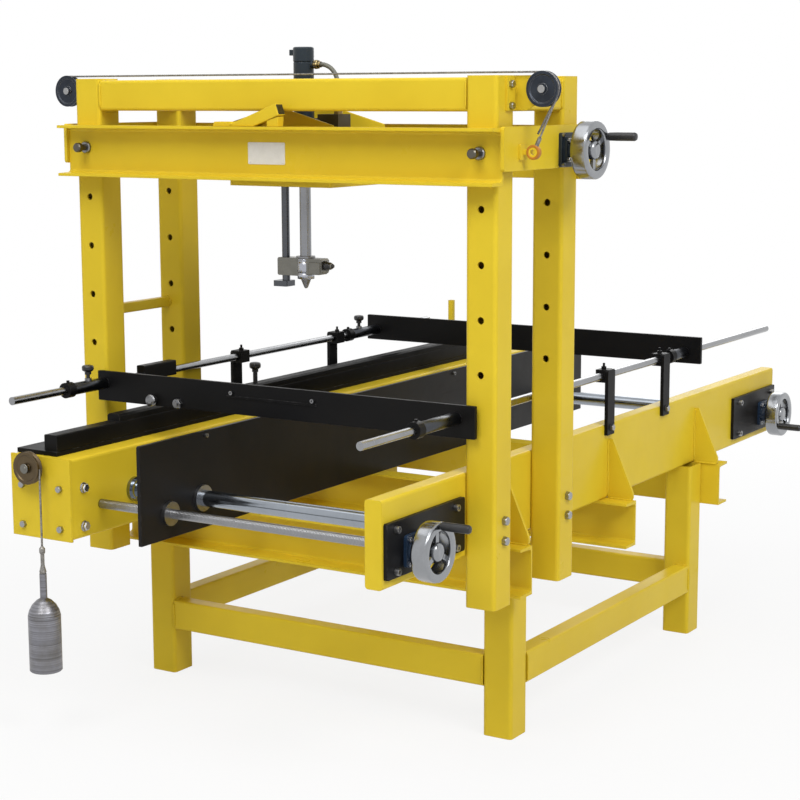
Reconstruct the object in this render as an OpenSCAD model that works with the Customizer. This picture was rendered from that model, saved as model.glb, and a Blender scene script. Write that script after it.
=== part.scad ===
// Flexural testing machine: a four-post gantry over a long welded bed.
// A ram on a cross slide loads a specimen that lies between a fixed rail and a plate that
// two screws move. Millimetres, +Z up. Built from the outer front corner of the left front
// post; at_origin() then moves it so that the origin is on the floor, under the middle of
// the bounding box. +X runs to the handwheels, +Y along the bed away from the weight.

/* [Gantry] */
// Width of the square post tube
post_w = 100; // [90:1:106]
// Wall of the post tube
post_wall = 6; // [4:0.5:8]
// Height of the top of the posts over the floor
post_top = 2000; // [1960:5:2100]
// Height of the lower end of the posts
post_foot = 470; // [440:5:560]
// Post centre to post centre across the machine
bay_w = 1440; // [1300:10:1500]
// Post centre to post centre along the bed
bay_d = 400; // [380:5:460]
// Height of the tie tubes between the post tops
tie_h = 95; // [80:1:100]
// Height of the top row of pin holes
pin_top = 1785; // [1740:5:1785]
// Distance between pin hole rows
pin_pitch = 157; // [140:1:157]
// Number of pin hole rows
pin_rows = 5; // [4:1:5]
// Diameter of the index pins
pin_d = 20; // [16:1:22]
// Clearance round an index pin in its post hole
pin_slack = 0.6; // [0.4:0.1:1.5]

/* [Crossbeam] */
// Height of the crossbeam channels
xb_h = 160; // [150:1:165]
// Width of the crossbeam channel flanges
xb_flange = 65; // [55:1:70]
// Web thickness of the crossbeam channels
xb_web = 8; // [6:0.5:10]
// Gap between crossbeam and posts, all round
xb_gap = 0.5; // [0.4:0.1:1.2]
// Gap between the outer post faces and the end plates
xb_side = 22; // [15:1:30]
// Thickness of the end plates
xb_plate = 12; // [8:1:16]
// Diameter of the cross slide shaft
gshaft_d = 30; // [25:1:36]
// Diameter of the cross slide screw
gscrew_d = 25; // [20:1:30]

/* [Ram] */
// Ram axis, measured from the left post's outer face
ram_x = 716; // [600:5:900]
// Outside diameter of the cylinder
cyl_d = 75; // [70:1:80]
// Length of the cylinder
cyl_len = 406; // [380:5:420]
// Bore of the cylinder
cyl_bore = 60; // [55:1:63]
// Diameter of the piston rod
rod_d = 36; // [30:1:40]
// Piston rod showing under the carriage at rest
rod_out = 223; // [210:1:240]
// Diameter of the guide rod beside the ram
gbar_d = 25; // [20:1:28]
// Distance from ram axis to guide rod
gbar_off = 76; // [72:1:85]

/* [Bed] */
// Width of the square legs
leg_w = 100; // [90:1:110]
// Height of the legs
leg_h = 620; // [600:5:640]
// Front face of the front legs, from the front of the posts
leg_front = 230; // [220:5:260]
// Far end of the side beams to the back face of the rear legs
leg_back = 770; // [740:5:840]
// Height of the bed channels
bed_h = 150; // [140:1:150]
// Flange width of the bed channels
bed_flange = 75; // [65:1:80]
// Length of the side beams
beam_len = 2880; // [2800:10:2900]
// Height of the side beams
beam_h = 250; // [240:1:260]
// Width of the right side beam
beam_w = 55; // [50:1:60]
// Width of the left side beam
box_w = 230; // [200:1:250]
// Length of the side beams that stands in front of the posts
beam_front = 440; // [430:5:450]
// Height of the lower stretchers
str_h = 100; // [80:1:110]
// Height of the underside of the lower stretchers
str_z = 155; // [120:5:200]

/* [Support plate] */
// Thickness of the moving support plate
plate_t = 12; // [10:1:16]
// Height of the moving support plate
plate_h = 300; // [280:5:305]
// Position of the plate's left face at rest
plate_x = 585; // [500:5:700]
// Diameter of the two guide shafts
shaft_d = 50; // [40:1:56]
// Diameter of the two screws
screw_d = 28; // [22:1:30]
// Distance from the front of the beams to the screw
screw_in = 130; // [110:1:140]
// Distance from the front of the beams to the shaft
shaft_in = 290; // [270:1:310]
// Handwheel diameter
wheel_d = 170; // [150:5:180]

/* [Rods and cross bars] */
// Diameter of the two long rods
rail_d = 25; // [20:1:27]
// Height of the long rods
rail_z = 1032; // [1020:1:1070]
// Front end of the right rod, in front of the posts
rail_front = 530; // [500:5:560]
// Height of the two cross bars
bar_h = 96; // [85:1:100]
// Front face of the front cross bar, in front of the posts
bar_front = 27; // [24:1:100]
// Far end of the side beams to the front face of the rear cross bar
bar_back = 840; // [800:5:900]

/* [Counterweight] */
// Radius of the rope wheels
sheave_r = 50; // [45:1:50]
// Rope diameter
rope_d = 6; // [5:0.5:7]
// Diameter of the hanging weight
weight_d = 100; // [80:1:110]
// Height of the weight's cylindrical part
weight_h = 174; // [150:1:180]
// Height of the underside of the weight
weight_z = 212; // [205:1:240]

/* [Hidden] */
$fn = 40;
yellow = [0.93, 0.74, 0.05];
black = [0.06, 0.06, 0.07];
steel = [0.70, 0.71, 0.73];
blue = [0.08, 0.16, 0.32];

fit = 0.05;                 // radial running fit of a shaft in its bush
seat = 0.02;                // radial gap of a rod held in a clamp
free = 0.5;                 // gap between a turning piece and a hole it only passes

// Frame of the posts
right_x = bay_w + post_w;                 // outer face of the right posts
back_y = bay_d + post_w;                  // back face of the rear posts
mid_y = back_y / 2;                       // middle line of the gantry
tie_z = post_top - tie_h - 5;
pin_hole_r = pin_d / 2 + pin_slack;

// Crossbeam
xb_z = pin_top - 90;
xb_left = -xb_side;
xb_right = right_x + xb_side;
xb_len = xb_right - xb_left;
xb_end = xb_right + xb_plate;
gax_z = pin_top + 2;                      // height of cross slide shaft and screw
gshaft_y = mid_y - 108;
gscrew_y = mid_y + 108;

// Carriage and ram
car_z = pin_top - 115;                    // underside of the carriage plate
car_t = 18;
car_top = car_z + car_t;
car_x0 = ram_x - 190;
car_w = 380;
cheek_in = 138;
cheek_t = 12;
cheek_h = 147;
bridge_z = car_top + cheek_h;
bridge_t = 8;
car_y0 = mid_y - 138;
car_d = 276;
cyl_z = car_top;
cyl_top = cyl_z + cyl_len;
head_top = car_z - rod_out;               // underside of the rod, top of the load cell flange
gbar_x = ram_x - gbar_off;
head_z = head_top - 62;
head_h = 56;
foot_z = head_top - 98;
hose_r = 7;
hose_bend = 60;
hose_z = cyl_top - 54;
hose_x0 = ram_x + cyl_d / 2 + 28.5;
hose_x1 = hose_x0 + hose_bend;
valve_top = bridge_z + bridge_t + 46;

// Bed
leg_lx = 68;                              // outer face of the left legs
leg_rx = right_x - 68;                    // outer face of the right legs
beam_y0 = -beam_front;
beam_y1 = beam_len - beam_front;
beam_z = leg_h;
beam_top = beam_z + beam_h;
beam_x1 = bay_w;                          // outer face of the right beam
beam_x0 = beam_x1 - beam_w;
box_x0 = post_w;
box_x1 = post_w + box_w;
cap_t = 8;
bed_z = leg_h - bed_h;
leg_rear = beam_y1 - leg_back;            // back face of the rear legs
str_w = 60;
mid_web = (leg_front + leg_rear) / 2 + 10;

// Support plate and its drives
plate_z = beam_z + 15;
plate_top = plate_z + plate_h;
screw_y0 = beam_y0 + screw_in;
screw_y1 = beam_y1 - screw_in;
shaft_y0 = beam_y0 + shaft_in;
shaft_y1 = beam_y1 - shaft_in;
screw_z = beam_z + 92;
shaft_z = beam_z + 110;
screw_ys = [screw_y0, screw_y1];
shaft_ys = [shaft_y0, shaft_y1];
neck_d = 20;                              // turned-down end of a screw
drive_t = 12;
drive_len = 420;
drive_h = 158;
drive_z = beam_z + 27;
drive_x = beam_x1 + drive_t;              // outer face of a drive plate

// Handwheel, measured along its own axis from the face it is bolted to
brg_len = 30;
hub_x = 32;
rim_x = 80;
stud_x = 92;
grip_len = 92;
wheel_r = wheel_d / 2;
grip_r = wheel_r - 10;
gplate_t = 10;
gface = xb_end + gplate_t;
wheel_reach = stud_x + free + grip_len;
far_turn = 120;                           // how far the far wheel stands turned
cross_turn = -60;

// Long rods and cross bars
rod_gap = 1.5;
rod_rx = beam_x1 - rod_gap - rail_d / 2;
rod_lx = box_x0 + rod_gap + rail_d / 2;
rail_left_front = rail_front - 75;
rail_back = beam_y1 - 46;                 // far end of the right rod
bar_rear = beam_y1 - bar_back;            // front face of the rear cross bar
bar_t = 12;
bar_drop = 57;                            // a rod's middle down to the front bar's edge
rear_lift = 17;                           // how much higher the rear bar stands
bar_over = 52;                            // the posts' outer face to a bar's right end
front_over = 28;                          // rod to the front bar's left end
rear_over = 43;                           // rod to the rear bar's left end
rail_left_back = beam_y1 - 450;           // far end of the left rod
front_sleeves = [160, 205];               // lengths on the left and the right rod
back_sleeves = [190, 120];
knob_y = [80, 129];                       // bar face to the clamp knobs, front and rear
knob_rise = 38;                           // rod's middle up to the foot of a clamp knob
knob_r = 6;                               // stem of a clamp knob
stud_in = 318;                            // bright screws on the front bar's face
strip_x0 = 605;
strip_len = 336;
sleeve_r = rail_d / 2 + 6;
collar_len = 30;
collar_r = rail_d / 2 + 12;
rod_span = bar_rear + bar_front;
clamp_y = 0.111 * rod_span - bar_front;   // long clamp block on the left rod
clamp_len = 165;
left_arms = [0.449 * rod_span - bar_front, bar_rear - 286];
right_arms = [0.597 * rod_span - bar_front, bar_rear - 212];
arm_t = 12;
arm_w = 52;
arm_z = beam_top - 34;
clamp_h = 42;
clamp_w = rail_d + 9;
stop_y = beam_y1 - 351;                   // upright at the far end of the fixed rail

// Rope wheels and weight
sheave_x = 100;                           // reach of a top wheel beyond its post
sheave_z = post_top - 38;
sheave_y = post_w - 15;
sheave_t = 20;
rope_r = rope_d / 2;
run_r = sheave_r - rope_r;                // radius of the rope's centre line
drum_x = 193;
drum_y = beam_y0 - cap_t - 32;
drum_z = beam_top - 32;
drop_x = drum_x + run_r;
dome_z = weight_z + weight_h;
neck_z = dome_z + 54;
crimp_z = neck_z + 76;
crimp_h = 86;
eye_x = xb_end + 37;
eye_z = pin_top + 2;
eye_r = 17;

// Where the origin goes: under the middle of the bounding box
x_low = -sheave_x - sheave_r;
x_high = gface + wheel_reach;
y_low = -rail_front;
y_high = beam_y1 + cap_t;
mid_x = (x_low + x_high) / 2;
mid_len = (y_low + y_high) / 2;

module at_origin() translate([-mid_x, -mid_len, 0]) children();

// ---- Profiles and small shapes ----

function corner(cx, cy, r, a) =
    [for (i = [0:3]) [cx + r * cos(a + i * 30), cy + r * sin(a + i * 30)]];

// Rectangle with rounded corners, its low corner at the origin
function round_rect(w, h, r) = concat(
    corner(w - r, h - r, r, 0), corner(r, h - r, r, 90),
    corner(r, r, r, 180), corner(w - r, r, r, 270));

// Rolled channel: web on the line x = 0, flanges to -x, y up
function channel_outline(h, b, tw, tf, r) = [
    [0, 0], [0, h], [-b, h], [-b, h - tf * 0.8], [-tw - r, h - tf], [-tw - r * 0.3, h - tf - r * 0.3],
    [-tw, h - tf - r], [-tw, tf + r], [-tw - r * 0.3, tf + r * 0.3], [-tw - r, tf],
    [-b, tf * 0.8], [-b, 0]];

// The same outline with its points put down as (width, height)
module tube_outline(w, h, wall, r) difference() {
    polygon(round_rect(w, h, r));
    translate([wall, wall]) polygon(round_rect(w - 2 * wall, h - 2 * wall, max(r - wall, 1)));
}

// Extrudes a (y, z) outline along +x
module along_x(len) rotate([90, 0, 90]) linear_extrude(len) children();
// Extrudes an (x, z) outline along +y
module along_y(len) translate([0, len, 0]) rotate([90, 0, 0]) linear_extrude(len) children();

module bar_x(len, r) rotate([0, 90, 0]) cylinder(h = len, r = r);
module bar_y(len, r) rotate([-90, 0, 0]) cylinder(h = len, r = r);

// Hexagon head with a chamfer, standing on z = 0
module hex_head(af, h) intersection() {
    cylinder(h = h, r = af / sqrt(3), $fn = 6);
    cylinder(h = h, r1 = af * 0.75, r2 = af * 0.49);
}

// Socket cap screw head on z = 0
module cap_head(d) difference() {
    cylinder(h = d * 0.62, r = d / 2);
    translate([0, 0, d * 0.3]) cylinder(h = d, r = d * 0.28, $fn = 6);
}

// Knob with a waist and a domed top, standing on z = 0
module knob(r, h) rotate_extrude() polygon([
    [0, 0], [r * 0.55, 0], [r * 0.55, h * 0.28], [r * 0.92, h * 0.42], [r, h * 0.56],
    [r, h * 0.82], [r * 0.86, h * 0.95], [r * 0.5, h], [0, h]]);

// ---- Gantry ----

// One post with its rows of pin holes, front face on y = 0 of its own frame
module post() difference() {
    translate([0, 0, post_foot]) union() {
        linear_extrude(post_top - post_foot - 5) tube_outline(post_w, post_w, post_wall, 11);
        translate([0, 0, post_top - post_foot - 5]) linear_extrude(5)
            polygon(round_rect(post_w, post_w, 11));
    }
    for (i = [0:pin_rows - 1])
        translate([post_w / 2, -1, pin_top - i * pin_pitch]) bar_y(post_w + 2, pin_hole_r);
}

module posts() color(yellow) at_origin()
    for (x = [0, bay_w]) for (y = [0, bay_d]) translate([x, y, 0]) post();

// Cross ties front and back, side ties, and the thin bar that stops the crossbeam
module tie_tubes() color(yellow) at_origin() {
    for (y = [4, bay_d + 4])
        translate([post_w, y, tie_z]) along_x(bay_w - post_w)
            tube_outline(post_w - 8, tie_h, 5, 9);
    for (x = [4, bay_w + 4])
        translate([x, post_w, tie_z]) along_y(bay_d - post_w)
            tube_outline(post_w - 8, tie_h, 5, 9);
    translate([12, post_w, post_foot + 765]) along_y(bay_d - post_w)
        tube_outline(33, 33, 3, 5);
}

// ---- Bed ----

module leg() {
    linear_extrude(10) polygon(round_rect(leg_w, leg_w, 11));
    translate([0, 0, 10]) linear_extrude(leg_h - 10) tube_outline(leg_w, leg_w, 6, 11);
}

module legs() color(yellow) at_origin()
    for (x = [leg_lx, leg_rx - leg_w])
        for (y = [leg_front, leg_rear - leg_w])
            translate([x, y, 0]) leg();

module stretchers() color(yellow) at_origin() {
    for (x = [leg_lx, leg_rx - str_w])
        translate([x, leg_front + leg_w, str_z])
            along_y(leg_rear - leg_front - 2 * leg_w) tube_outline(str_w, str_h, 4, 7);
    for (y = [leg_front, leg_rear - str_w])
        translate([leg_lx + leg_w, y, str_z])
            along_x(leg_rx - leg_lx - 2 * leg_w) tube_outline(str_w, str_h, 4, 7);
}

// Three rolled channels under the side beams; the rear one faces backwards
module bed_channels() color(yellow) at_origin() {
    for (y = [leg_front, mid_web])
        translate([0, y, bed_z]) along_x(right_x)
            polygon(channel_outline(bed_h, bed_flange, 7, 10, 9));
    translate([0, leg_rear, bed_z]) along_x(right_x) mirror([1, 0])
        polygon(channel_outline(bed_h, bed_flange, 7, 10, 9));
}

// Triangular plate between a channel's end and the side of a beam
module gusset() along_y(10)
    polygon([[0, 0], [88, 0], [92, 8], [92, 24], [16, 200], [0, 200]]);

module gussets() color(yellow) at_origin()
    for (y = [leg_front - 10, mid_web - 10, leg_rear]) {
        translate([beam_x1, y, beam_z]) gusset();
        translate([box_x0, y, beam_z]) mirror([1, 0, 0]) gusset();
    }

// Right side beam: a deep tube with closed ends and two bores for each drive
module beam_right() color(yellow) at_origin() difference() {
    translate([beam_x0, beam_y0, beam_z]) union() {
        along_y(beam_len) tube_outline(beam_w, beam_h, 6, 9);
        for (y = [-cap_t, beam_len])
            translate([0, y, 0]) along_y(cap_t) polygon(round_rect(beam_w, beam_h, 9));
    }
    for (y = screw_ys) translate([beam_x0 - 1, y, screw_z]) bar_x(beam_w + 2, neck_d / 2 + 4);
}

// Left side beam: a wide box section, plated at both ends
module beam_left() color(yellow) at_origin() difference() {
    translate([box_x0, beam_y0, beam_z]) union() {
        along_y(beam_len) tube_outline(box_w, beam_h, 8, 10);
        for (y = [-cap_t, beam_len])
            translate([-5, y, -4]) along_y(cap_t) square([box_w + 6, beam_h + 4]);
    }
    for (y = screw_ys) translate([box_x1 - 12, y, screw_z]) bar_x(20, neck_d / 2 + fit);
}

// Fixed rail on the left beam: base strip, square bar and a stepped cap
module fixed_rail() color(black) at_origin() {
    translate([box_x0 + 4, beam_y0 + 12, beam_top]) cube([box_w - 70, beam_len - 24, 14]);
    translate([box_x1 - 116, beam_y0 + 14, beam_top + 14]) along_y(beam_len - 60)
        polygon(round_rect(50, 51, 4));
    translate([box_x1 - 116, beam_y0 + 305, beam_top + 65]) along_y(beam_len - 475)
        polygon([[0, 0], [50, 0], [50, 16], [44, 22], [6, 22], [0, 16]]);
}

// Small upright on the far end of the left beam
module stop_post() color(yellow) at_origin()
    translate([box_x0 + 52, stop_y, beam_top + 14]) linear_extrude(219) tube_outline(22, 22, 3, 4);

// Bolt heads of posts, end plates, drive plates, arms and rope brackets, with the axles
module frame_bolts() color(steel) at_origin() {
    for (y = [post_w / 2 + 2, bay_d + post_w / 2 + 2])
        for (z = [beam_z + 50, beam_z + 110]) {
            translate([right_x, y, z]) rotate([0, 90, 0]) hex_head(24, 14);
            translate([0, y, z]) rotate([0, -90, 0]) hex_head(24, 14);
        }
    for (z = [beam_z + 33, beam_z + 157])
        for (x = [box_x0 + 40, box_x0 + 190])
            translate([x, beam_y0 - cap_t, z]) rotate([90, 0, 0]) hex_head(19, 11);
    for (y = [46, drive_len - 54])
        for (z = [drive_z + 18, drive_z + drive_h - 22]) {
            translate([drive_x, beam_y0 + y, z]) rotate([0, 90, 0]) cap_head(20);
            translate([drive_x, beam_y1 - y, z]) rotate([0, 90, 0]) cap_head(20);
        }
    for (y = right_arms)
        translate([beam_x1 + arm_t, y, arm_z + 24]) rotate([0, 90, 0]) hex_head(19, 11);
    for (y = left_arms)
        translate([box_x0 - arm_t, y, arm_z + 24]) rotate([0, -90, 0]) hex_head(19, 11);
    translate([right_x, 0, 0]) bracket_bolts();
    mirror([1, 0, 0]) bracket_bolts();
}

// ---- Guides and drives of the support plate ----

module guide_shafts() color(steel) at_origin()
    for (y = shaft_ys)
        translate([box_x1, y, shaft_z]) {
            bar_x(beam_x0 - box_x1, shaft_d / 2);
            difference() {
                union() {
                    bar_x(12, shaft_d / 2 + 14);
                    bar_x(26, shaft_d / 2 + 7);
                    translate([beam_x0 - box_x1 - 12, 0, 0]) bar_x(12, shaft_d / 2 + 14);
                }
                translate([-1, 0, 0]) bar_x(beam_x0 - box_x1 + 2, shaft_d / 2 - 1);
            }
        }

module drive_plates() color(black) at_origin()
    for (y = [beam_y0, beam_y1 - drive_len])
        difference() {
            translate([beam_x1, y, drive_z]) along_x(drive_t)
                polygon(round_rect(drive_len, drive_h, 6));
            for (s = screw_ys)
                translate([beam_x1 - 1, s, screw_z]) bar_x(drive_t + 2, neck_d / 2 + 4);
        }

// Flanged bearing: square foot with four bolts, round snout, bored for the screw's neck
module bearing(w) difference() {
    union() {
        translate([0, -w / 2, -w / 2]) along_x(11) polygon(round_rect(w, w, 12));
        rotate([0, 90, 0]) rotate_extrude() polygon([
            [0, 0], [w * 0.42, 0], [w * 0.42, 15], [w * 0.33, 22], [w * 0.33, 28],
            [w * 0.3, brg_len], [0, brg_len]]);
        for (y = [-1, 1]) for (z = [-1, 1])
            translate([11, y * w * 0.37, z * w * 0.37]) rotate([0, 90, 0]) hex_head(13, 7);
    }
    translate([-1, 0, 0]) bar_x(brg_len + 2, neck_d / 2 + fit);
}

module drive_bearings() color(blue) at_origin()
    for (y = screw_ys) translate([drive_x, y, screw_z]) bearing(92);

// Handwheel: hub, three spokes, deep rim and the stud of the grip. Face on x = 0, grip up
module handwheel() {
    rotate([0, 90, 0]) rotate_extrude() polygon([
        [0, hub_x - 1], [19, hub_x - 1], [22, hub_x + 2], [22, hub_x + 34], [26, hub_x + 38],
        [26, rim_x + 6], [18, rim_x + 10], [0, rim_x + 10]]);
    rotate([0, 90, 0]) rotate_extrude() polygon([
        [wheel_r - 13, rim_x - 13], [wheel_r - 4, rim_x - 16], [wheel_r, rim_x - 10],
        [wheel_r, rim_x + 7], [wheel_r - 5, rim_x + 12], [wheel_r - 16, rim_x + 12],
        [wheel_r - 20, rim_x + 7], [wheel_r - 18, rim_x - 2]]);
    for (i = [0:2]) rotate([90 + i * 120, 0, 0])
        translate([rim_x - 9, 20, -8]) cube([10, wheel_r - 33, 16]);
    translate([rim_x + 5, 0, grip_r]) {
        bar_x(stud_x - rim_x - 5, 9);
        bar_x(wheel_reach - 9 - rim_x - 5, 5);
    }
}

// Revolving grip of a handwheel turned by a, closed over the end of its stud
module grip(a) rotate([a, 0, 0]) translate([stud_x + free, 0, grip_r]) rotate([0, 90, 0])
    rotate_extrude() polygon([
        [5 + fit, 0], [10, 0], [12, 5], [12.6, 30], [12.6, grip_len - 6], [10, grip_len - 1],
        [6, grip_len], [0, grip_len], [0, grip_len - 8], [5 + fit, grip_len - 8]]);

// Screw with turned necks, from the left beam's wall to its handwheel, turned by a
module plate_screw(y, a) translate([0, y, screw_z]) rotate([a, 0, 0]) {
    translate([box_x1 - 10, 0, 0]) bar_x(drive_x + hub_x - box_x1 + 10, neck_d / 2);
    translate([box_x1 + free, 0, 0]) bar_x(beam_x0 - box_x1 - 2 * free, screw_d / 2);
    translate([drive_x, 0, 0]) handwheel();
}

module near_drive() color(steel) at_origin() plate_screw(screw_y0, 0);
module far_drive() color(steel) at_origin() plate_screw(screw_y1, far_turn);
module near_grip() color(black) at_origin() translate([drive_x, screw_y0, screw_z]) grip(0);
module far_grip() color(black) at_origin() translate([drive_x, screw_y1, screw_z]) grip(far_turn);

// Long upright plate that the two screws move across the bed
module support_plate() color(black) at_origin() difference() {
    translate([plate_x, beam_y0, plate_z]) along_x(plate_t)
        polygon([[0, 0], [beam_len, 0], [beam_len, plate_h - 4], [beam_len - 4, plate_h],
                 [4, plate_h], [0, plate_h - 4]]);
    for (y = screw_ys) translate([plate_x - 1, y, screw_z]) bar_x(plate_t + 2, 24);
    for (y = shaft_ys) translate([plate_x - 1, y, shaft_z]) bar_x(plate_t + 2, shaft_d / 2 + 7);
}

// Flanged bushes on the shafts and flanged nuts on the screws, with the plate's small bolts
module plate_bushes() color(steel) at_origin() {
    for (y = shaft_ys) translate([plate_x - 34, y, shaft_z]) difference() {
        union() {
            bar_x(34 + plate_t, shaft_d / 2 + 7);
            translate([34 + plate_t, 0, 0]) bar_x(10, shaft_d / 2 + 16);
        }
        translate([-1, 0, 0]) bar_x(34 + plate_t + 12, shaft_d / 2 + fit);
    }
    for (y = screw_ys) translate([plate_x - 26, y, screw_z]) difference() {
        union() {
            bar_x(26 + plate_t, 24);
            translate([26 + plate_t, 0, 0]) bar_x(12, 37);
        }
        translate([-1, 0, 0]) bar_x(26 + plate_t + 14, screw_d / 2 + fit);
    }
    for (i = [0:3])
        translate([plate_x + plate_t, beam_y0 + 314 + i * (beam_len - 628) / 3, plate_top - 14])
            rotate([0, 90, 0]) cap_head(13);
}

// ---- Long rods, their arms and the cross bars ----

module long_rods() color(steel) at_origin() {
    translate([rod_rx, -rail_front, rail_z]) bar_y(rail_front + rail_back, rail_d / 2);
    translate([rod_lx, -rail_left_front, rail_z])
        bar_y(rail_left_front + rail_left_back, rail_d / 2);
}

// Flat arm on a beam's side with a split clamp at the top, in the right beam's sense
module rod_arm() {
    translate([0, -arm_w / 2, arm_z]) along_x(arm_t)
        polygon([[0, 0], [arm_w, 0], [arm_w, rail_z + clamp_h / 2 - arm_z - 6],
                 [arm_w - 6, rail_z + clamp_h / 2 - arm_z], [6, rail_z + clamp_h / 2 - arm_z],
                 [0, rail_z + clamp_h / 2 - arm_z - 6]]);
    difference() {
        translate([-clamp_w, -arm_w / 2, rail_z - clamp_h / 2])
            cube([clamp_w, arm_w, clamp_h]);
        translate([-rod_gap - rail_d / 2, -arm_w / 2 - 1, rail_z])
            bar_y(arm_w + 2, rail_d / 2 + seat);
    }
    translate([-clamp_w / 2, 0, rail_z + clamp_h / 2]) {
        hex_head(16, 9);
        cylinder(h = 20, r = 4);
    }
}

// The four arms, and the long clamp block near the front of the left rod
module rod_arms() color(black) at_origin() {
    for (y = right_arms) translate([beam_x1, y, 0]) rod_arm();
    for (y = left_arms) translate([box_x0, y, 0]) mirror([1, 0, 0]) rod_arm();
    translate([rod_lx, clamp_y, rail_z]) difference() {
        translate([-clamp_w / 2, 0, -16]) along_y(clamp_len)
            polygon(round_rect(clamp_w, 50, 4));
        translate([0, -1, 0]) bar_y(clamp_len + 2, rail_d / 2 + seat);
    }
}

// Flat bar across both rods from x0 on, bored where they pass at height h
module cross_bar(x0, h) difference() {
    translate([x0, bar_t, 0]) rotate([90, 0, 0]) linear_extrude(bar_t)
        polygon(round_rect(right_x - bar_over - x0, bar_h, 3));
    for (x = [rod_lx, rod_rx]) translate([x, -1, h]) bar_y(bar_t + 2, rail_d / 2 + fit);
}

// Set collar of a sleeve of length len, in the sleeve's frame
module set_collar(len) translate([0, -len, 0]) difference() {
    union() {
        translate([0, -collar_len, 0]) bar_y(collar_len, collar_r);
        translate([0, -collar_len / 2, collar_r - 4]) cylinder(h = 10, r = 5);
    }
    translate([0, -collar_len - 1, 0]) bar_y(collar_len + 2, rail_d / 2 + fit);
}

module sleeve(len) translate([0, -len, 0]) difference() {
    bar_y(len, sleeve_r);
    translate([0, -1, 0]) bar_y(len + 2, rail_d / 2 + fit);
}

// Left sleeve with the threaded boss of its clamp knob
module knob_sleeve(len, y) difference() {
    union() {
        sleeve(len);
        translate([0, -y, rail_d / 2 + 2]) cylinder(h = sleeve_r - rail_d / 2 + 6, r = knob_r + 5);
    }
    translate([0, -y, rail_d / 2 - 2]) cylinder(h = knob_rise, r = knob_r);
}

// A bar's two collars, or its two sleeves, with the bar's face on y = 0 and the rods on z = 0
module collars(lens) {
    translate([rod_lx, 0, 0]) set_collar(lens[0]);
    translate([rod_rx, 0, 0]) set_collar(lens[1]);
}

module sleeves(lens, y) {
    translate([rod_lx, 0, 0]) knob_sleeve(lens[0], y);
    translate([rod_rx, 0, 0]) sleeve(lens[1]);
}

// Front bar with its set collars and a thin strip on its face
module front_bar() color(black) at_origin() translate([0, -bar_front, rail_z]) {
    translate([0, 0, -bar_drop]) {
        cross_bar(rod_lx - front_over, bar_drop);
        translate([strip_x0, -3, 50]) cube([strip_len, 3, 7]);
    }
    collars(front_sleeves);
}

// What is of bright steel on the front bar: sleeves, two bolts and two small screws
module front_fittings() color(steel) at_origin() translate([0, -bar_front, rail_z]) {
    sleeves(front_sleeves, knob_y[0]);
    translate([0, 0, -bar_drop]) {
        translate([stud_in, 0, 19]) rotate([90, 0, 0]) knob(19, 26);
        translate([stud_in + 98, 0, 16]) rotate([90, 0, 0]) {
            hex_head(28, 15);
            cylinder(h = 21, r = 8);
        }
        for (x = [strip_x0 + 20, strip_x0 + strip_len - 12])
            translate([x, 0, 66]) rotate([90, 0, 0]) cap_head(13);
    }
}

module rear_bar() color(black) at_origin() translate([0, bar_rear, rail_z]) {
    translate([0, 0, rear_lift - bar_drop]) cross_bar(rod_lx - rear_over, bar_drop - rear_lift);
    collars(back_sleeves);
}

module rear_sleeves() color(steel) at_origin()
    translate([0, bar_rear, rail_z]) sleeves(back_sleeves, knob_y[1]);

// Clamp knob with its stem in the left sleeve's boss, at a place along the bed
module clamp_knob(y) translate([rod_lx, y, rail_z + rail_d / 2 + free]) {
    cylinder(h = knob_rise - rail_d / 2, r = knob_r - fit);
    translate([0, 0, knob_rise - rail_d / 2 - free]) knob(19, 30);
}

module front_knob() color(black) at_origin() clamp_knob(-bar_front - knob_y[0]);
module rear_knob() color(black) at_origin() clamp_knob(bar_rear - knob_y[1]);

// Knob of the stop on the fixed rail
module stop_knob() color(black) at_origin()
    translate([box_x1 - 91, 619, beam_top + 87 + free]) {
        cylinder(h = 46, r = 8);
        translate([0, 0, 38]) knob(20, 34);
    }

// ---- Crossbeam ----

// Front and rear channels of the crossbeam, bored for the index pins
module crossbeam_channels() color(yellow) at_origin()
    for (side = [0, 1]) translate([0, side * back_y, 0]) mirror([0, side, 0]) difference() {
        translate([xb_left, -xb_gap, xb_z]) along_x(xb_len)
            polygon(channel_outline(xb_h, xb_flange, xb_web, 11, 9));
        for (x = [post_w / 2, right_x - post_w / 2])
            translate([x, -xb_gap - xb_web - 1, pin_top]) bar_y(xb_web + 2, pin_d / 2 + fit);
    }

// End plates that tie the two channels; the right one is bored for the screw
module crossbeam_ends() color(yellow) at_origin() difference() {
    for (x = [xb_left - xb_plate, xb_right])
        translate([x, -20, xb_z + 40]) along_x(xb_plate)
            polygon(round_rect(back_y + 40, xb_h - 36, 8));
    translate([xb_right - 1, gscrew_y, gax_z]) bar_x(xb_plate + 2, neck_d / 2 + 4);
    translate([xb_left - xb_plate - 1, gscrew_y, gax_z]) bar_x(xb_plate + 2, neck_d / 2 + fit);
}

// Open square tube that leans on the front channel's top flange
module crossbeam_strut() color(yellow) at_origin() difference() {
    translate([575, -48, xb_z + xb_h]) rotate([0, -16, 0]) along_x(262)
        tube_outline(36, 36, 3, 4);
    translate([500, -60, xb_z + xb_h - 60]) cube([400, 70, 60]);
}

// Round shaft that the carriage slides on
module cross_shaft() color(steel) at_origin()
    translate([xb_left, gshaft_y, gax_z]) bar_x(xb_len, gshaft_d / 2);

// Bearing of the cross screw on its square plate
module cross_bearing() color(black) at_origin() translate([xb_end, gscrew_y, gax_z]) {
    difference() {
        translate([0, -50, -50]) along_x(gplate_t) polygon(round_rect(100, 100, 8));
        translate([-1, 0, 0]) bar_x(gplate_t + 2, neck_d / 2 + 4);
    }
    translate([gplate_t, 0, 0]) bearing(76);
}

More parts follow.
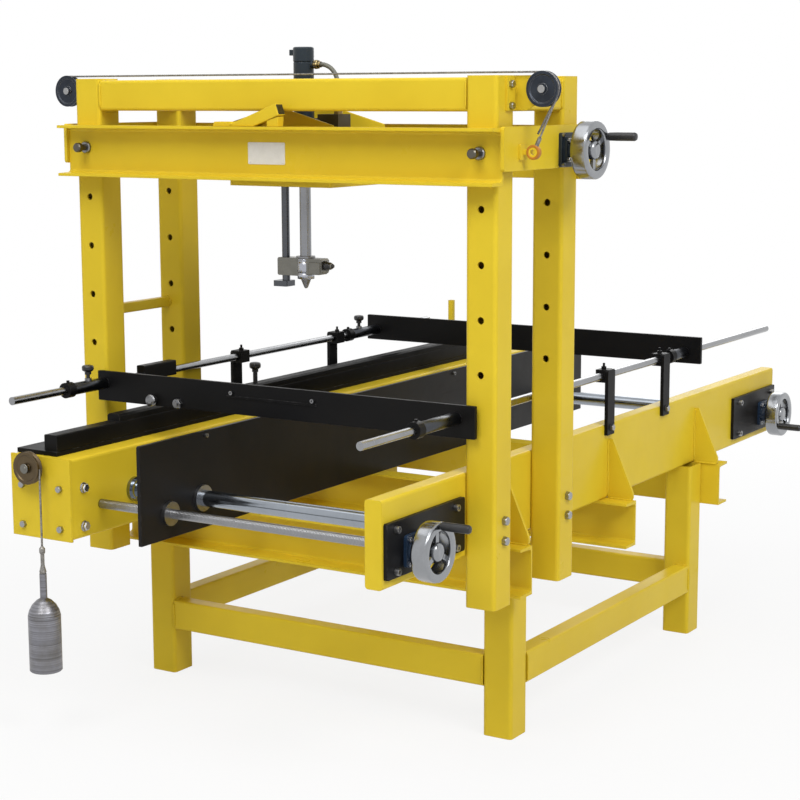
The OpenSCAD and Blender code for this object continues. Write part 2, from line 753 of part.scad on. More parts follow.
// Bosses that guide the four index pins, and the screws of the bearing's square plate
module beam_fittings() color(steel) at_origin() {
    for (y = [-43, 43]) for (z = [-43, 43])
        translate([gface, gscrew_y + y, gax_z + z]) rotate([0, 90, 0]) cap_head(12);
    for (side = [0, 1]) translate([0, side * back_y, 0]) mirror([0, side, 0])
        for (x = [post_w / 2, right_x - post_w / 2])
            translate([x, -xb_gap - xb_web, pin_top]) rotate([90, 0, 0]) difference() {
                rotate_extrude() polygon([[0, 0], [19, 0], [19, 7], [16, 10], [0, 10]]);
                translate([0, 0, -1]) cylinder(h = 12, r = pin_d / 2 + fit);
            }
}

// Index pin drawn back: tip flush in the web, knob standing off its boss
module index_pin(x, side) translate([x, side * back_y, pin_top]) mirror([0, side, 0])
    translate([0, -xb_gap - 0.5, 0]) rotate([90, 0, 0]) rotate_extrude() polygon([
        [0, 0], [pin_d / 2 - 2, 0], [pin_d / 2, 2], [pin_d / 2, 38], [14, 39], [15, 42],
        [15, 54], [12, 58], [0, 58]]);

module pin_front_left() color(steel) at_origin() index_pin(post_w / 2, 0);
module pin_front_right() color(steel) at_origin() index_pin(right_x - post_w / 2, 0);
module pin_rear_left() color(steel) at_origin() index_pin(post_w / 2, 1);
module pin_rear_right() color(steel) at_origin() index_pin(right_x - post_w / 2, 1);

// Cross screw with its handwheel
module cross_drive() color(steel) at_origin()
    translate([0, gscrew_y, gax_z]) rotate([cross_turn, 0, 0]) {
        translate([xb_left - xb_plate, 0, 0])
            bar_x(gface + hub_x - xb_left + xb_plate, neck_d / 2);
        translate([xb_left + free, 0, 0]) bar_x(xb_len - 2 * free, gscrew_d / 2);
        translate([gface, 0, 0]) handwheel();
    }

module cross_grip() color(black) at_origin() translate([gface, gscrew_y, gax_z]) grip(cross_turn);

// ---- Carriage ----

module carriage_base() color(yellow) at_origin() difference() {
    translate([car_x0, car_y0, car_z]) linear_extrude(car_t) polygon(round_rect(car_w, car_d, 6));
    translate([ram_x, mid_y, car_z - 1]) cylinder(h = car_t + 2, r = rod_d / 2 + 3);
    translate([gbar_x, mid_y, car_z - 1]) cylinder(h = car_t + 2, r = gbar_d / 2 + fit);
}

// Two cheeks and the bridge that joins them round the cylinder
module carriage_cheeks() color(black) at_origin() difference() {
    union() {
        for (x = [ram_x - cheek_in - cheek_t, ram_x + cheek_in])
            translate([x, car_y0, car_top]) along_x(cheek_t) polygon([
                [0, 0], [car_d, 0], [car_d, cheek_h - 30], [car_d - 30, cheek_h],
                [30, cheek_h], [0, cheek_h - 30]]);
        translate([ram_x - cheek_in - cheek_t, mid_y - 60, bridge_z])
            cube([2 * cheek_in + 2 * cheek_t, 120, bridge_t]);
    }
    translate([ram_x, mid_y, bridge_z - 1]) cylinder(h = bridge_t + 2, r = cyl_d / 2 + 1);
    translate([gbar_x, mid_y, bridge_z - 1]) cylinder(h = bridge_t + 2, r = gbar_d / 2 + 1);
    translate([ram_x - 160, gshaft_y, gax_z]) bar_x(320, gshaft_d / 2 + 8);
    translate([ram_x - 160, gscrew_y, gax_z]) bar_x(320, gscrew_d / 2 + 8);
}

// Shaft bushes in the cheeks, the screw's nut and a plain guide opposite it
module carriage_bushes() color(steel) at_origin()
    for (s = [-1, 1]) translate([ram_x + s * cheek_in, 0, gax_z]) mirror([s < 0 ? 1 : 0, 0, 0]) {
        translate([0, gshaft_y, 0]) difference() {
            union() {
                translate([-14, 0, 0]) bar_x(14 + cheek_t, gshaft_d / 2 + 8);
                translate([cheek_t, 0, 0]) bar_x(9, gshaft_d / 2 + 16);
            }
            translate([-20, 0, 0]) bar_x(60, gshaft_d / 2 + fit);
        }
        translate([0, gscrew_y, 0]) difference() {
            union() {
                translate([-20, 0, 0]) bar_x(20 + cheek_t, gscrew_d / 2 + 8);
                translate([cheek_t, 0, 0]) bar_x(10, gscrew_d / 2 + 16);
            }
            translate([-25, 0, 0]) bar_x(60, gscrew_d / 2 + fit);
        }
    }

// Ram cylinder: bored barrel, stepped head with a port boss, and a gland at the foot
module cylinder_barrel() difference() {
    rotate_extrude() polygon([
        [rod_d / 2 + fit, 0], [cyl_d / 2 + 6, 0], [cyl_d / 2 + 6, 14], [cyl_d / 2, 20],
        [cyl_d / 2, cyl_len - 38], [cyl_d / 2 + 10, cyl_len - 36],
        [cyl_d / 2 + 10, cyl_len - 22], [cyl_d / 2, cyl_len - 20], [cyl_d / 2, cyl_len - 4],
        [cyl_d / 2 - 4, cyl_len], [0, cyl_len], [0, cyl_len - 16],
        [cyl_bore / 2, cyl_len - 16], [cyl_bore / 2, 24], [rod_d / 2 + fit, 24]]);
    for (i = [0:3]) rotate([0, 0, 45 + i * 90])
        translate([cyl_d / 2 - 10, 0, cyl_len - 5]) cylinder(h = 6, r = 4, $fn = 6);
}

module ram_barrel() color(black) at_origin() translate([ram_x, mid_y, cyl_z]) cylinder_barrel();

// Piston and piston rod
module piston_rod() color(steel) at_origin() translate([ram_x, mid_y, head_top]) {
    cylinder(h = rod_out + car_t + 126, r = rod_d / 2);
    translate([0, 0, rod_out + car_t + 126]) difference() {
        cylinder(h = 28, r = cyl_bore / 2 - fit);
        for (z = [8, 18]) translate([0, 0, z]) difference() {
            cylinder(h = 3, r = cyl_bore / 2 + 1);
            cylinder(h = 3, r = cyl_bore / 2 - 2);
        }
    }
}

module guide_rod() color(steel) at_origin() translate([gbar_x, mid_y, foot_z + 18]) {
    cylinder(h = car_z - foot_z + 170, r = gbar_d / 2);
    translate([-34, -26, -18]) linear_extrude(18) polygon(round_rect(52, 52, 6));
}

// Yoke that clamps the guide rod and carries the load cell
module ram_head() color(steel) at_origin() translate([ram_x, mid_y, head_z]) difference() {
    union() {
        translate([-gbar_off - 18, 22, 0]) rotate([90, 0, 0]) linear_extrude(44) polygon([
            [0, 4], [4, 0], [gbar_off + 26, 0], [gbar_off + 32, 6], [gbar_off + 82, 6],
            [gbar_off + 92, 16], [gbar_off + 92, head_h - 6], [gbar_off + 86, head_h],
            [4, head_h], [0, head_h - 4]]);
        translate([26, -27, 10]) linear_extrude(34) polygon(round_rect(44, 54, 5));
        translate([74, 0, 34]) rotate([0, 90, 0]) rotate_extrude()
            polygon([[0, 0], [13, 0], [13, 8], [10, 12], [10, 24], [4, 32], [0, 32]]);
    }
    translate([0, 0, -1]) cylinder(h = head_h + 2, r = 21 + seat);
    translate([-gbar_off, 0, -1]) cylinder(h = head_h + 2, r = gbar_d / 2 + seat);
}

// Load cell body with its flange on the yoke, and the cone that meets the specimen
module load_cell() color(steel) at_origin() translate([ram_x, mid_y, head_z]) rotate_extrude()
    polygon([
        [0, -40], [3, -40], [6, -37], [16, -12], [16, -9], [21, -7], [21, head_h],
        [30, head_h], [30, head_h + 6], [0, head_h + 6]]);

// Valve block on the bridge with the hose's two fittings
module valve_block() color(black) at_origin() {
    translate([hose_x1 - 66, mid_y - 34, bridge_z + bridge_t]) difference() {
        cube([cheek_in + cheek_t + ram_x - hose_x1 + 66, 68, 46]);
        translate([-1, -1, 34]) cube([14, 70, 13]);
    }
    translate([hose_x1 - 56, mid_y - 34, bridge_z + bridge_t + 20]) rotate([90, 0, 0])
        cylinder(h = 26, r = 12);
    translate([hose_x1, mid_y, valve_top]) {
        hex_head(22, 12);
        cylinder(h = 22, r = 9);
    }
    translate([ram_x + cyl_d / 2, mid_y, hose_z]) difference() {
        union() {
            translate([-1, 0, 0]) bar_x(29.5, 9);
            translate([6, 0, 0]) rotate([0, 90, 0]) hex_head(24, 12);
        }
        translate([-cyl_d / 2, 0, -20]) cylinder(h = 40, r = cyl_d / 2, $fn = 96);
    }
}

// Hose from the cylinder's port over a quarter bend down to the valve block
module air_hose() color(black) at_origin() {
    translate([hose_x0, mid_y, hose_z - hose_bend]) rotate([90, 0, 0])
        rotate_extrude(angle = 90) translate([hose_bend, 0]) circle(r = hose_r, $fn = 24);
    translate([hose_x1, mid_y, valve_top + 22])
        cylinder(h = hose_z - hose_bend - valve_top - 22, r = hose_r, $fn = 24);
}

// ---- Rope wheels and counterweight ----

// Grooved wheel on a bush, axis along y, front face on y = 0
module rope_wheel() rotate([-90, 0, 0]) rotate_extrude() polygon([
    [7 + fit, 0], [16, 0], [16, 3], [sheave_r - 12, 3], [sheave_r - 9, 0], [sheave_r, 0],
    [sheave_r, 2], [run_r - rope_r - 0.4, 6.4], [run_r - rope_r - 0.4, sheave_t - 6.4],
    [sheave_r, sheave_t - 2], [sheave_r, sheave_t], [sheave_r - 9, sheave_t],
    [sheave_r - 12, sheave_t - 3], [16, sheave_t - 3], [16, sheave_t], [7 + fit, sheave_t]]);

module sheave_left() color(black) at_origin()
    translate([-sheave_x, sheave_y - sheave_t / 2, sheave_z]) rope_wheel();
module sheave_right() color(black) at_origin()
    translate([right_x + sheave_x, sheave_y - sheave_t / 2, sheave_z]) rope_wheel();
module drum() color(black) at_origin()
    translate([drum_x, drum_y - sheave_t / 2, drum_z]) rope_wheel();

// Angle bracket of a rope wheel, for the right post
module sheave_bracket() {
    translate([0, post_w - 52, sheave_z - 60]) cube([7, 50, 98]);
    translate([0, sheave_y + sheave_t / 2 + 0.6, sheave_z - 60]) along_y(4)
        polygon([[0, 0], [40, 0], [sheave_x + 22, 44], [sheave_x + 22, 78],
                 [sheave_x + 4, 98], [0, 98]]);
}

// The bracket's axle with its retaining head, and its two bolts
module bracket_bolts() {
    translate([sheave_x, sheave_y - sheave_t / 2 - 6, sheave_z]) {
        bar_y(sheave_t + 6.6, 7);
        bar_y(5.4, 11);
    }
    for (z = [14, 74])
        translate([7, post_w - 34, sheave_z - 60 + z]) rotate([0, 90, 0]) hex_head(19, 11);
}

module sheave_brackets() color(yellow) at_origin() {
    translate([right_x, 0, 0]) sheave_bracket();
    mirror([1, 0, 0]) sheave_bracket();
    translate([drum_x, beam_y0 - cap_t, drum_z]) rotate([90, 0, 0]) {
        cylinder(h = 21.4, r = 15);
        cylinder(h = 50, r = 7);
        translate([0, 0, 42.6]) cylinder(h = 6, r = 11);
    }
}

// Rope over the two top wheels, in their grooves
module lift_rope() color([0.35, 0.33, 0.3]) at_origin() translate([0, sheave_y, sheave_z]) {
    translate([seat - sheave_x, 0, run_r]) bar_x(right_x + 2 * sheave_x - 2 * seat, rope_r);
    translate([right_x + sheave_x, 0, 0]) rotate([90, 0, 0]) rotate([0, 0, -26])
        rotate_extrude(angle = 116) translate([run_r, 0]) circle(r = rope_r, $fn = 16);
    translate([-sheave_x, 0, 0]) rotate([90, 0, 0]) rotate([0, 0, 90])
        rotate_extrude(angle = 150) translate([run_r, 0]) circle(r = rope_r, $fn = 16);
}

// Rope from the right wheel down to the eye, with its ferrule
module rope_drop() color(steel) at_origin() {
    p = [right_x + sheave_x + run_r * cos(26), sheave_z - run_r * sin(26)];
    q = [eye_x, eye_z];
    run = norm(p - q);
    lean = atan2(p[0] - q[0], p[1] - q[1]);
    translate([eye_x, sheave_y, eye_z]) rotate([0, lean, 0]) {
        translate([0, 0, eye_r]) cylinder(h = 28, r = 6);
        translate([0, 0, eye_r + 27]) cylinder(h = run - 27.4 - eye_r, r = rope_r, $fn = 16);
    }
}

// Eye on its lug and plate, on the crossbeam's end plate
module rope_eye() color(yellow) at_origin() {
    translate([eye_x, sheave_y - 7, eye_z]) rotate([-90, 0, 0]) difference() {
        cylinder(h = 14, r = eye_r);
        translate([0, 0, -1]) cylinder(h = 16, r = eye_r - 9);
    }
    translate([xb_end, sheave_y - 5, eye_z - 8]) cube([eye_x - xb_end - 12, 10, 16]);
    translate([xb_end, sheave_y - 22, eye_z - 22]) along_x(6) polygon(round_rect(44, 44, 5));
}

// Hanging weight: cylinder with a domed shoulder and a neck
module weight() color(steel) at_origin()
    translate([drop_x, drum_y, weight_z]) rotate_extrude() polygon([
        [0, 0], [weight_d / 2 - 3, 0], [weight_d / 2, 3], [weight_d / 2, weight_h],
        [weight_d / 2 - 4, weight_h + 16], [weight_d / 2 - 13, weight_h + 33],
        [weight_d / 2 - 27, weight_h + 47], [11, weight_h + 54], [11, neck_z - weight_z + 76],
        [0, neck_z - weight_z + 76]]);

// Rope that holds the weight, with its crimped hook piece
module weight_rope() color([0.1, 0.1, 0.1]) at_origin() translate([drop_x, drum_y, crimp_z]) {
    rotate_extrude() polygon([
        [0, 0], [9, 0], [11, 6], [8, 18], [6, 26], [6, 60], [9, 66], [9, crimp_h - 8],
        [rope_r, crimp_h], [0, crimp_h]]);
    translate([0, 0, crimp_h - 1])
        cylinder(h = drum_z - crimp_z - crimp_h + 1, r = rope_r, $fn = 16);
}

posts();
tie_tubes();
legs();
stretchers();
bed_channels();
gussets();
beam_right();
beam_left();
fixed_rail();
frame_bolts();
guide_shafts();
drive_plates();
drive_bearings();
long_rods();
rod_arms();
sheave_brackets();
lift_rope();
stop_post();
stop_knob();
crossbeam_channels();
crossbeam_ends();
crossbeam_strut();
cross_shaft();
cross_bearing();
rope_drop();
rope_eye();
beam_fittings();
carriage_base();
carriage_cheeks();
carriage_bushes();
ram_barrel();
valve_block();
air_hose();
piston_rod();
guide_rod();
ram_head();
load_cell();
cross_drive();
cross_grip();
pin_front_left();
pin_front_right();
pin_rear_left();
pin_rear_right();
support_plate();
plate_bushes();
near_drive();
near_grip();
far_drive();
far_grip();
front_bar();
front_fittings();
rear_bar();
rear_sleeves();
front_knob();
rear_knob();
sheave_left();
sheave_right();
drum();
weight();
weight_rope();
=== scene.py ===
"""Flexural testing machine: finishes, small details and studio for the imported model.

Metres, +Z up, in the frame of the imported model. Places are read from the model's own boxes.
"""
import math
import random

import bmesh
import bpy
from mathutils import Matrix, Vector


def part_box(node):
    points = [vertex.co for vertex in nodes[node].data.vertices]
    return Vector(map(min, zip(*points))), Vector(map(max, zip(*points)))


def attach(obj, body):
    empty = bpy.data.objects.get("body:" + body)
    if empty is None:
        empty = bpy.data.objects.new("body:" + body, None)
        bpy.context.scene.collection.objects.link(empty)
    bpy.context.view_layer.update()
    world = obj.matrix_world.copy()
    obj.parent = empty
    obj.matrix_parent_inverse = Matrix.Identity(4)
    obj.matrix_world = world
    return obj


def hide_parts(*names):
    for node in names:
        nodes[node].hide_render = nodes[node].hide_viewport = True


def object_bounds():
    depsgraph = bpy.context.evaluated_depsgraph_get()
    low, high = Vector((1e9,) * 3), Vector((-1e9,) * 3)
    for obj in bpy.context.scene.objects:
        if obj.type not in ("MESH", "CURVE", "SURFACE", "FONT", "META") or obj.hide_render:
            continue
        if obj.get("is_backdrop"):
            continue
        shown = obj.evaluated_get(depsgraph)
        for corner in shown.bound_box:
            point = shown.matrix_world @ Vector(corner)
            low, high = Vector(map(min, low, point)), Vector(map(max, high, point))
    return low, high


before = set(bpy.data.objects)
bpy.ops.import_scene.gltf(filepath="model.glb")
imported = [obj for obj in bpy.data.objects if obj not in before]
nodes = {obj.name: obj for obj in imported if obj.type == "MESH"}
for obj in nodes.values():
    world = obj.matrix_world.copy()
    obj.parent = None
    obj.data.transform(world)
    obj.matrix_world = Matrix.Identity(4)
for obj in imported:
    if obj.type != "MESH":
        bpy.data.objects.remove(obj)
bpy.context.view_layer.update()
scene = bpy.context.scene
chance = random.Random(11)

X, Y, Z = Vector((1, 0, 0)), Vector((0, 1, 0)), Vector((0, 0, 1))

# ---------------------------------------------------------------- camera

EYE = (3.2839, -5.5611, 1.9489)
YAW, PITCH, ROLL = 0.5581, -0.1616, -0.0033  # radians, fitted to the photograph

lens = bpy.data.cameras.new("camera")
lens.sensor_width = 36.0
lens.lens = 84.43
lens.clip_start, lens.clip_end = 0.1, 100.0
camera = bpy.data.objects.new("camera", lens)
camera.matrix_world = (
    Matrix.Translation(EYE)
    @ Matrix.Rotation(YAW, 4, "Z")
    @ Matrix.Rotation(math.pi / 2 + PITCH, 4, "X")
    @ Matrix.Rotation(ROLL, 4, "Z")
)
scene.collection.objects.link(camera)
scene.camera = camera

# ---------------------------------------------------------------- node graphs


class Graph:
    """A material's node tree with short names for the nodes that the finishes use."""

    def __init__(self, name):
        self.mat = bpy.data.materials.new(name)
        self.mat.use_nodes = True
        self.tree = self.mat.node_tree
        self.shader = self.tree.nodes["Principled BSDF"]
        self.place = self.tree.nodes.new("ShaderNodeTexCoord").outputs["Object"]

    def link(self, source, target):
        if isinstance(source, bpy.types.NodeSocket):
            self.tree.links.new(source, target)
        elif isinstance(source, (tuple, list)) and len(source) == 3 and target.type == "RGBA":
            target.default_value = (*source, 1.0)
        else:
            target.default_value = source

    def stretched(self, scale, turn=(0.0, 0.0, 0.0)):
        node = self.tree.nodes.new("ShaderNodeMapping")
        self.link(self.place, node.inputs["Vector"])
        node.inputs["Scale"].default_value = scale
        node.inputs["Rotation"].default_value = turn
        return node.outputs["Vector"]

    def noise(self, scale, detail=3.0, rough=0.5, at=None, warp=0.0):
        node = self.tree.nodes.new("ShaderNodeTexNoise")
        self.link(at or self.place, node.inputs["Vector"])
        node.inputs["Scale"].default_value = scale
        node.inputs["Detail"].default_value = detail
        node.inputs["Roughness"].default_value = rough
        node.inputs["Distortion"].default_value = warp
        return node.outputs["Fac"]

    def spread(self, value, low, high, to_low=0.0, to_high=1.0):
        node = self.tree.nodes.new("ShaderNodeMapRange")
        self.link(value, node.inputs["Value"])
        for name, number in (("From Min", low), ("From Max", high), ("To Min", to_low), ("To Max", to_high)):
            node.inputs[name].default_value = number
        return node.outputs["Result"]

    def math(self, work, a, b=0.0):
        node = self.tree.nodes.new("ShaderNodeMath")
        node.operation = work
        self.link(a, node.inputs[0])
        self.link(b, node.inputs[1])
        return node.outputs[0]

    def mix(self, share, a, b):
        node = self.tree.nodes.new("ShaderNodeMix")
        node.data_type = "RGBA"
        self.link(share, node.inputs[0])
        self.link(a, node.inputs[6])
        self.link(b, node.inputs[7])
        return node.outputs[2]

    def bump(self, height, depth, strength=1.0, over=None):
        node = self.tree.nodes.new("ShaderNodeBump")
        node.inputs["Strength"].default_value = strength
        node.inputs["Distance"].default_value = depth
        self.link(height, node.inputs["Height"])
        if over is not None:
            self.link(over, node.inputs["Normal"])
        return node.outputs["Normal"]

    def edges(self, radius):
        """1 on sharp edges, 0 on flats, from how far a rounded normal leaves the true one, and the former."""
        soft = self.tree.nodes.new("ShaderNodeBevel")
        soft.samples = 4
        soft.inputs["Radius"].default_value = radius
        true = self.tree.nodes.new("ShaderNodeNewGeometry").outputs["Normal"]
        dot = self.tree.nodes.new("ShaderNodeVectorMath")
        dot.operation = "DOT_PRODUCT"
        self.link(soft.outputs["Normal"], dot.inputs[0])
        self.link(true, dot.inputs[1])
        return self.spread(dot.outputs["Value"], 0.995, 0.90, 0.0, 1.0), soft.outputs["Normal"]

    def set(self, **sockets):
        for name, value in sockets.items():
            self.link(value, self.shader.inputs[name.replace("_", " ")])
        return self.mat


# ---------------------------------------------------------------- finishes


def paint(name, colour, deep, under, gloss_range, wear, sheen):
    """Sprayed enamel: slow drift of colour, specks, orange peel, dull rubs and chips along edges."""
    g = Graph(name)
    drift = g.spread(g.noise(2.3, 3.0, 0.55), 0.35, 0.68)
    cloud = g.spread(g.noise(17.0, 4.0, 0.6), 0.3, 0.75)
    body = g.mix(drift, colour, deep)
    body = g.mix(g.math("MULTIPLY", cloud, 0.22), body, tuple(0.86 * c for c in colour))
    edge, soft = g.edges(0.0024)
    patch = g.spread(g.noise(34.0, 5.0, 0.7), 0.47, 0.66)
    chips = g.math("MULTIPLY", edge, g.math("MULTIPLY", patch, wear))
    body = g.mix(chips, body, under)
    specks = g.spread(g.noise(620.0, 1.0, 0.5), 0.71, 0.78, 0.0, 0.35)
    body = g.mix(specks, body, tuple(0.6 * c for c in colour))
    gloss = g.spread(g.noise(6.0, 4.0, 0.65), 0.3, 0.7, *gloss_range)
    rubs = g.noise(3.0, 6.0, 0.75, at=g.stretched((1.0, 1.0, 9.0)), warp=1.2)
    gloss = g.math("ADD", gloss, g.spread(rubs, 0.6, 0.72, 0.0, 0.16))
    relief = g.bump(g.noise(14.0, 2.0, 0.4), 0.0016, 0.35, over=soft)
    relief = g.bump(g.noise(430.0, 2.0, 0.5), 0.00012, 0.55, over=relief)
    return g.set(Base_Color=body, Roughness=gloss, Normal=relief, Specular_IOR_Level=sheen)


def turned(name, colour, low_gloss, high_gloss, axis, fine=900.0, depth=0.00004):
    """Turned or ground metal: fine rings square to its axis, faint stains and handling marks."""
    g = Graph(name)
    along = [3.0, 3.0, 3.0]
    along["XYZ".index(axis)] = fine
    rings = g.noise(1.0, 2.0, 0.6, at=g.stretched(tuple(along)))
    blotch = g.spread(g.noise(11.0, 5.0, 0.6), 0.42, 0.72)
    dull = tuple(0.62 * c for c in colour)
    body = g.mix(g.math("MULTIPLY", blotch, 0.36), colour, dull)
    body = g.mix(g.spread(rings, 0.3, 0.8, 0.0, 0.3), body, dull)
    gloss = g.spread(g.noise(27.0, 4.0, 0.6), 0.3, 0.7, low_gloss, high_gloss)
    gloss = g.math("ADD", gloss, g.spread(rings, 0.45, 0.8, 0.0, 0.06))
    relief = g.bump(rings, depth, 0.8)
    return g.set(Base_Color=body, Metallic=1.0, Roughness=gloss, Normal=relief)


def plated(name, colour, low_gloss, high_gloss, grain=260.0, depth=0.00006, stain=0.3):
    """Zinc-plated or cast and polished metal without a lay: cloudy, with a soft painted highlight along
    edges.
    """
    g = Graph(name)
    cloud = g.spread(g.noise(38.0, 5.0, 0.65), 0.35, 0.7)
    edge, soft = g.edges(0.0009)
    body = g.mix(g.math("MULTIPLY", cloud, stain), colour, tuple(0.6 * c for c in colour))
    # painted highlight: the colour is made lighter along sharp edges
    body = g.mix(g.math("MULTIPLY", edge, 0.35), body, tuple(min(1.0, 1.35 * c) for c in colour))
    gloss = g.spread(g.noise(21.0, 5.0, 0.6), 0.3, 0.7, low_gloss, high_gloss)
    relief = g.bump(g.noise(grain, 3.0, 0.6), depth, 0.8, over=soft)
    return g.set(Base_Color=body, Metallic=1.0, Roughness=gloss, Normal=relief)


def moulded(name, colour, low_gloss, high_gloss):
    """Black grip plastic: nearly even colour, cloudy gloss and a fine moulded grain."""
    g = Graph(name)
    body = g.mix(g.spread(g.noise(45.0, 4.0, 0.6), 0.35, 0.7), colour, tuple(2.2 * c + 0.004 for c in colour))
    gloss = g.spread(g.noise(33.0, 3.0, 0.6), 0.3, 0.7, low_gloss, high_gloss)
    return g.set(Base_Color=body, Roughness=gloss, Normal=g.bump(g.noise(700.0, 2.0, 0.5), 0.00008, 0.7))


def cast_iron(name, colour):
    """Blackened cast iron: sand-cast grain with bright rubbed edges."""
    g = Graph(name)
    edge, soft = g.edges(0.0012)
    grain = g.noise(300.0, 4.0, 0.7)
    body = g.mix(g.spread(g.noise(28.0, 5.0, 0.6), 0.3, 0.7), colour, tuple(1.9 * c for c in colour))
    body = g.mix(g.math("MULTIPLY", edge, 0.7), body, (0.32, 0.32, 0.33))
    gloss = g.spread(g.noise(40.0, 4.0, 0.6), 0.3, 0.7, 0.32, 0.5)
    relief = g.bump(grain, 0.00025, 0.6, over=soft)
    return g.set(Base_Color=body, Metallic=0.75, Roughness=gloss, Normal=relief)


def wire(name):
    """Greased steel wire: grey with dark patches of grease."""
    g = Graph(name)
    body = g.mix(g.spread(g.noise(160.0, 4.0, 0.7), 0.35, 0.65), (0.34, 0.33, 0.31), (0.13, 0.12, 0.11))
    gloss = g.spread(g.noise(90.0, 3.0, 0.6), 0.3, 0.7, 0.34, 0.55)
    relief = g.bump(g.noise(900.0, 2.0, 0.5), 0.0001)
    return g.set(Base_Color=body, Metallic=0.8, Roughness=gloss, Normal=relief)


def rubber(name):
    """Grey-olive hose with a fine cloth-like grain and a dusty bloom."""
    g = Graph(name)
    wrap = g.noise(1.0, 1.0, 0.5, at=g.stretched((420.0, 420.0, 420.0), (0.6, 0.5, 0.4)))
    body = g.mix(g.spread(g.noise(35.0, 4.0, 0.6), 0.4, 0.75), (0.105, 0.105, 0.085), (0.17, 0.165, 0.13))
    gloss = g.spread(g.noise(50.0, 3.0, 0.6), 0.3, 0.7, 0.38, 0.56)
    return g.set(Base_Color=body, Roughness=gloss, Normal=g.bump(wrap, 0.00025, 0.7))


def lathe_turned(name):
    """Old turned steel: tool rings up its length under a patchy brown film."""
    g = Graph(name)
    rings = g.noise(1.0, 3.0, 0.7, at=g.stretched((0.6, 0.6, 210.0)))
    film = g.spread(g.noise(13.0, 5.0, 0.65), 0.40, 0.72)
    body = g.mix(g.spread(rings, 0.32, 0.68), (0.13, 0.13, 0.14), (0.33, 0.33, 0.365))
    body = g.mix(g.math("MULTIPLY", film, 0.5), body, (0.11, 0.10, 0.075))
    gloss = g.spread(g.noise(60.0, 4.0, 0.6), 0.3, 0.7, 0.30, 0.48)
    relief = g.bump(rings, 0.0006, 0.7)
    relief = g.bump(g.noise(240.0, 3.0, 0.6), 0.0001, 0.4, over=relief)
    return g.set(Base_Color=body, Metallic=1.0, Roughness=gloss, Normal=relief)


# colour, its deeper drift, what shows under a chip, gloss range, wear, sheen
ENAMELS = {
    "yellow enamel": (
        (0.735, 0.540, 0.030), (0.68, 0.485, 0.024), (0.27, 0.19, 0.09), (0.27, 0.40), 0.45, 0.13
    ),
    "orange enamel": (
        (0.50, 0.20, 0.025), (0.42, 0.16, 0.02), (0.20, 0.13, 0.08), (0.30, 0.44), 0.5, 0.25
    ),
    "black enamel": (
        (0.007, 0.007, 0.008), (0.013, 0.011, 0.009), (0.16, 0.15, 0.14), (0.28, 0.44), 0.6, 0.13
    ),
    "blacked steel": (
        (0.0045, 0.0045, 0.005), (0.008, 0.0075, 0.007), (0.13, 0.125, 0.12), (0.34, 0.50), 0.5, 0.10
    ),
    "slate enamel": (
        (0.018, 0.028, 0.038), (0.013, 0.021, 0.030), (0.20, 0.20, 0.20), (0.24, 0.38), 0.5, 0.30
    ),
    "blue enamel": (
        (0.016, 0.036, 0.075), (0.010, 0.024, 0.052), (0.22, 0.22, 0.23), (0.20, 0.32), 0.6, 0.45
    ),
}
yellow, orange, black, blacked, slate, blue = (paint(name, *look) for name, look in ENAMELS.items())
ground_x = turned("ground shaft x", (0.34, 0.37, 0.41), 0.11, 0.21, "X")
ground_y = turned("ground rod y", (0.33, 0.335, 0.345), 0.16, 0.27, "Y")
ground_z = turned("ground rod z", (0.27, 0.275, 0.29), 0.16, 0.26, "Z")
machined_x = turned("machined x", (0.28, 0.28, 0.285), 0.26, 0.38, "X", fine=600.0, depth=0.00008)
machined_y = turned("machined y", (0.26, 0.262, 0.27), 0.26, 0.38, "Y", fine=600.0, depth=0.00008)
machined_z = turned("machined z", (0.25, 0.25, 0.255), 0.26, 0.40, "Z", fine=600.0, depth=0.00008)
chrome = plated("polished wheel", (0.31, 0.32, 0.335), 0.14, 0.26, grain=120.0, depth=0.00005, stain=0.2)
zinc = plated("plated fastener", (0.36, 0.36, 0.36), 0.26, 0.42)
iron = cast_iron("blackened iron", (0.018, 0.022, 0.030))
grip = moulded("grip plastic", (0.006, 0.006, 0.0065), 0.30, 0.44)
rope = wire("wire rope")
hose = rubber("hose rubber")
turned_weight = lathe_turned("turned weight")
dark_rod = turned("dark guide rod", (0.10, 0.105, 0.115), 0.20, 0.32, "Z")
dark_pin = turned("browned pin", (0.13, 0.12, 0.10), 0.28, 0.42, "Y", fine=600.0, depth=0.00008)
brass = plated("dull brass", (0.36, 0.28, 0.13), 0.26, 0.42)
bright = plated("bright fastener", (0.46, 0.46, 0.47), 0.20, 0.34)
gunmetal = plated("gunmetal block", (0.105, 0.095, 0.075), 0.30, 0.46)
bronze = plated("bronze wheel", (0.115, 0.085, 0.05), 0.30, 0.46)
head_steel = plated("dull machined block", (0.185, 0.18, 0.16), 0.28, 0.44)
sensor = turned("bright sensor body", (0.46, 0.475, 0.53), 0.18, 0.30, "Z")
blackened = turned("blackened sleeve", (0.075, 0.08, 0.09), 0.24, 0.36, "Y")

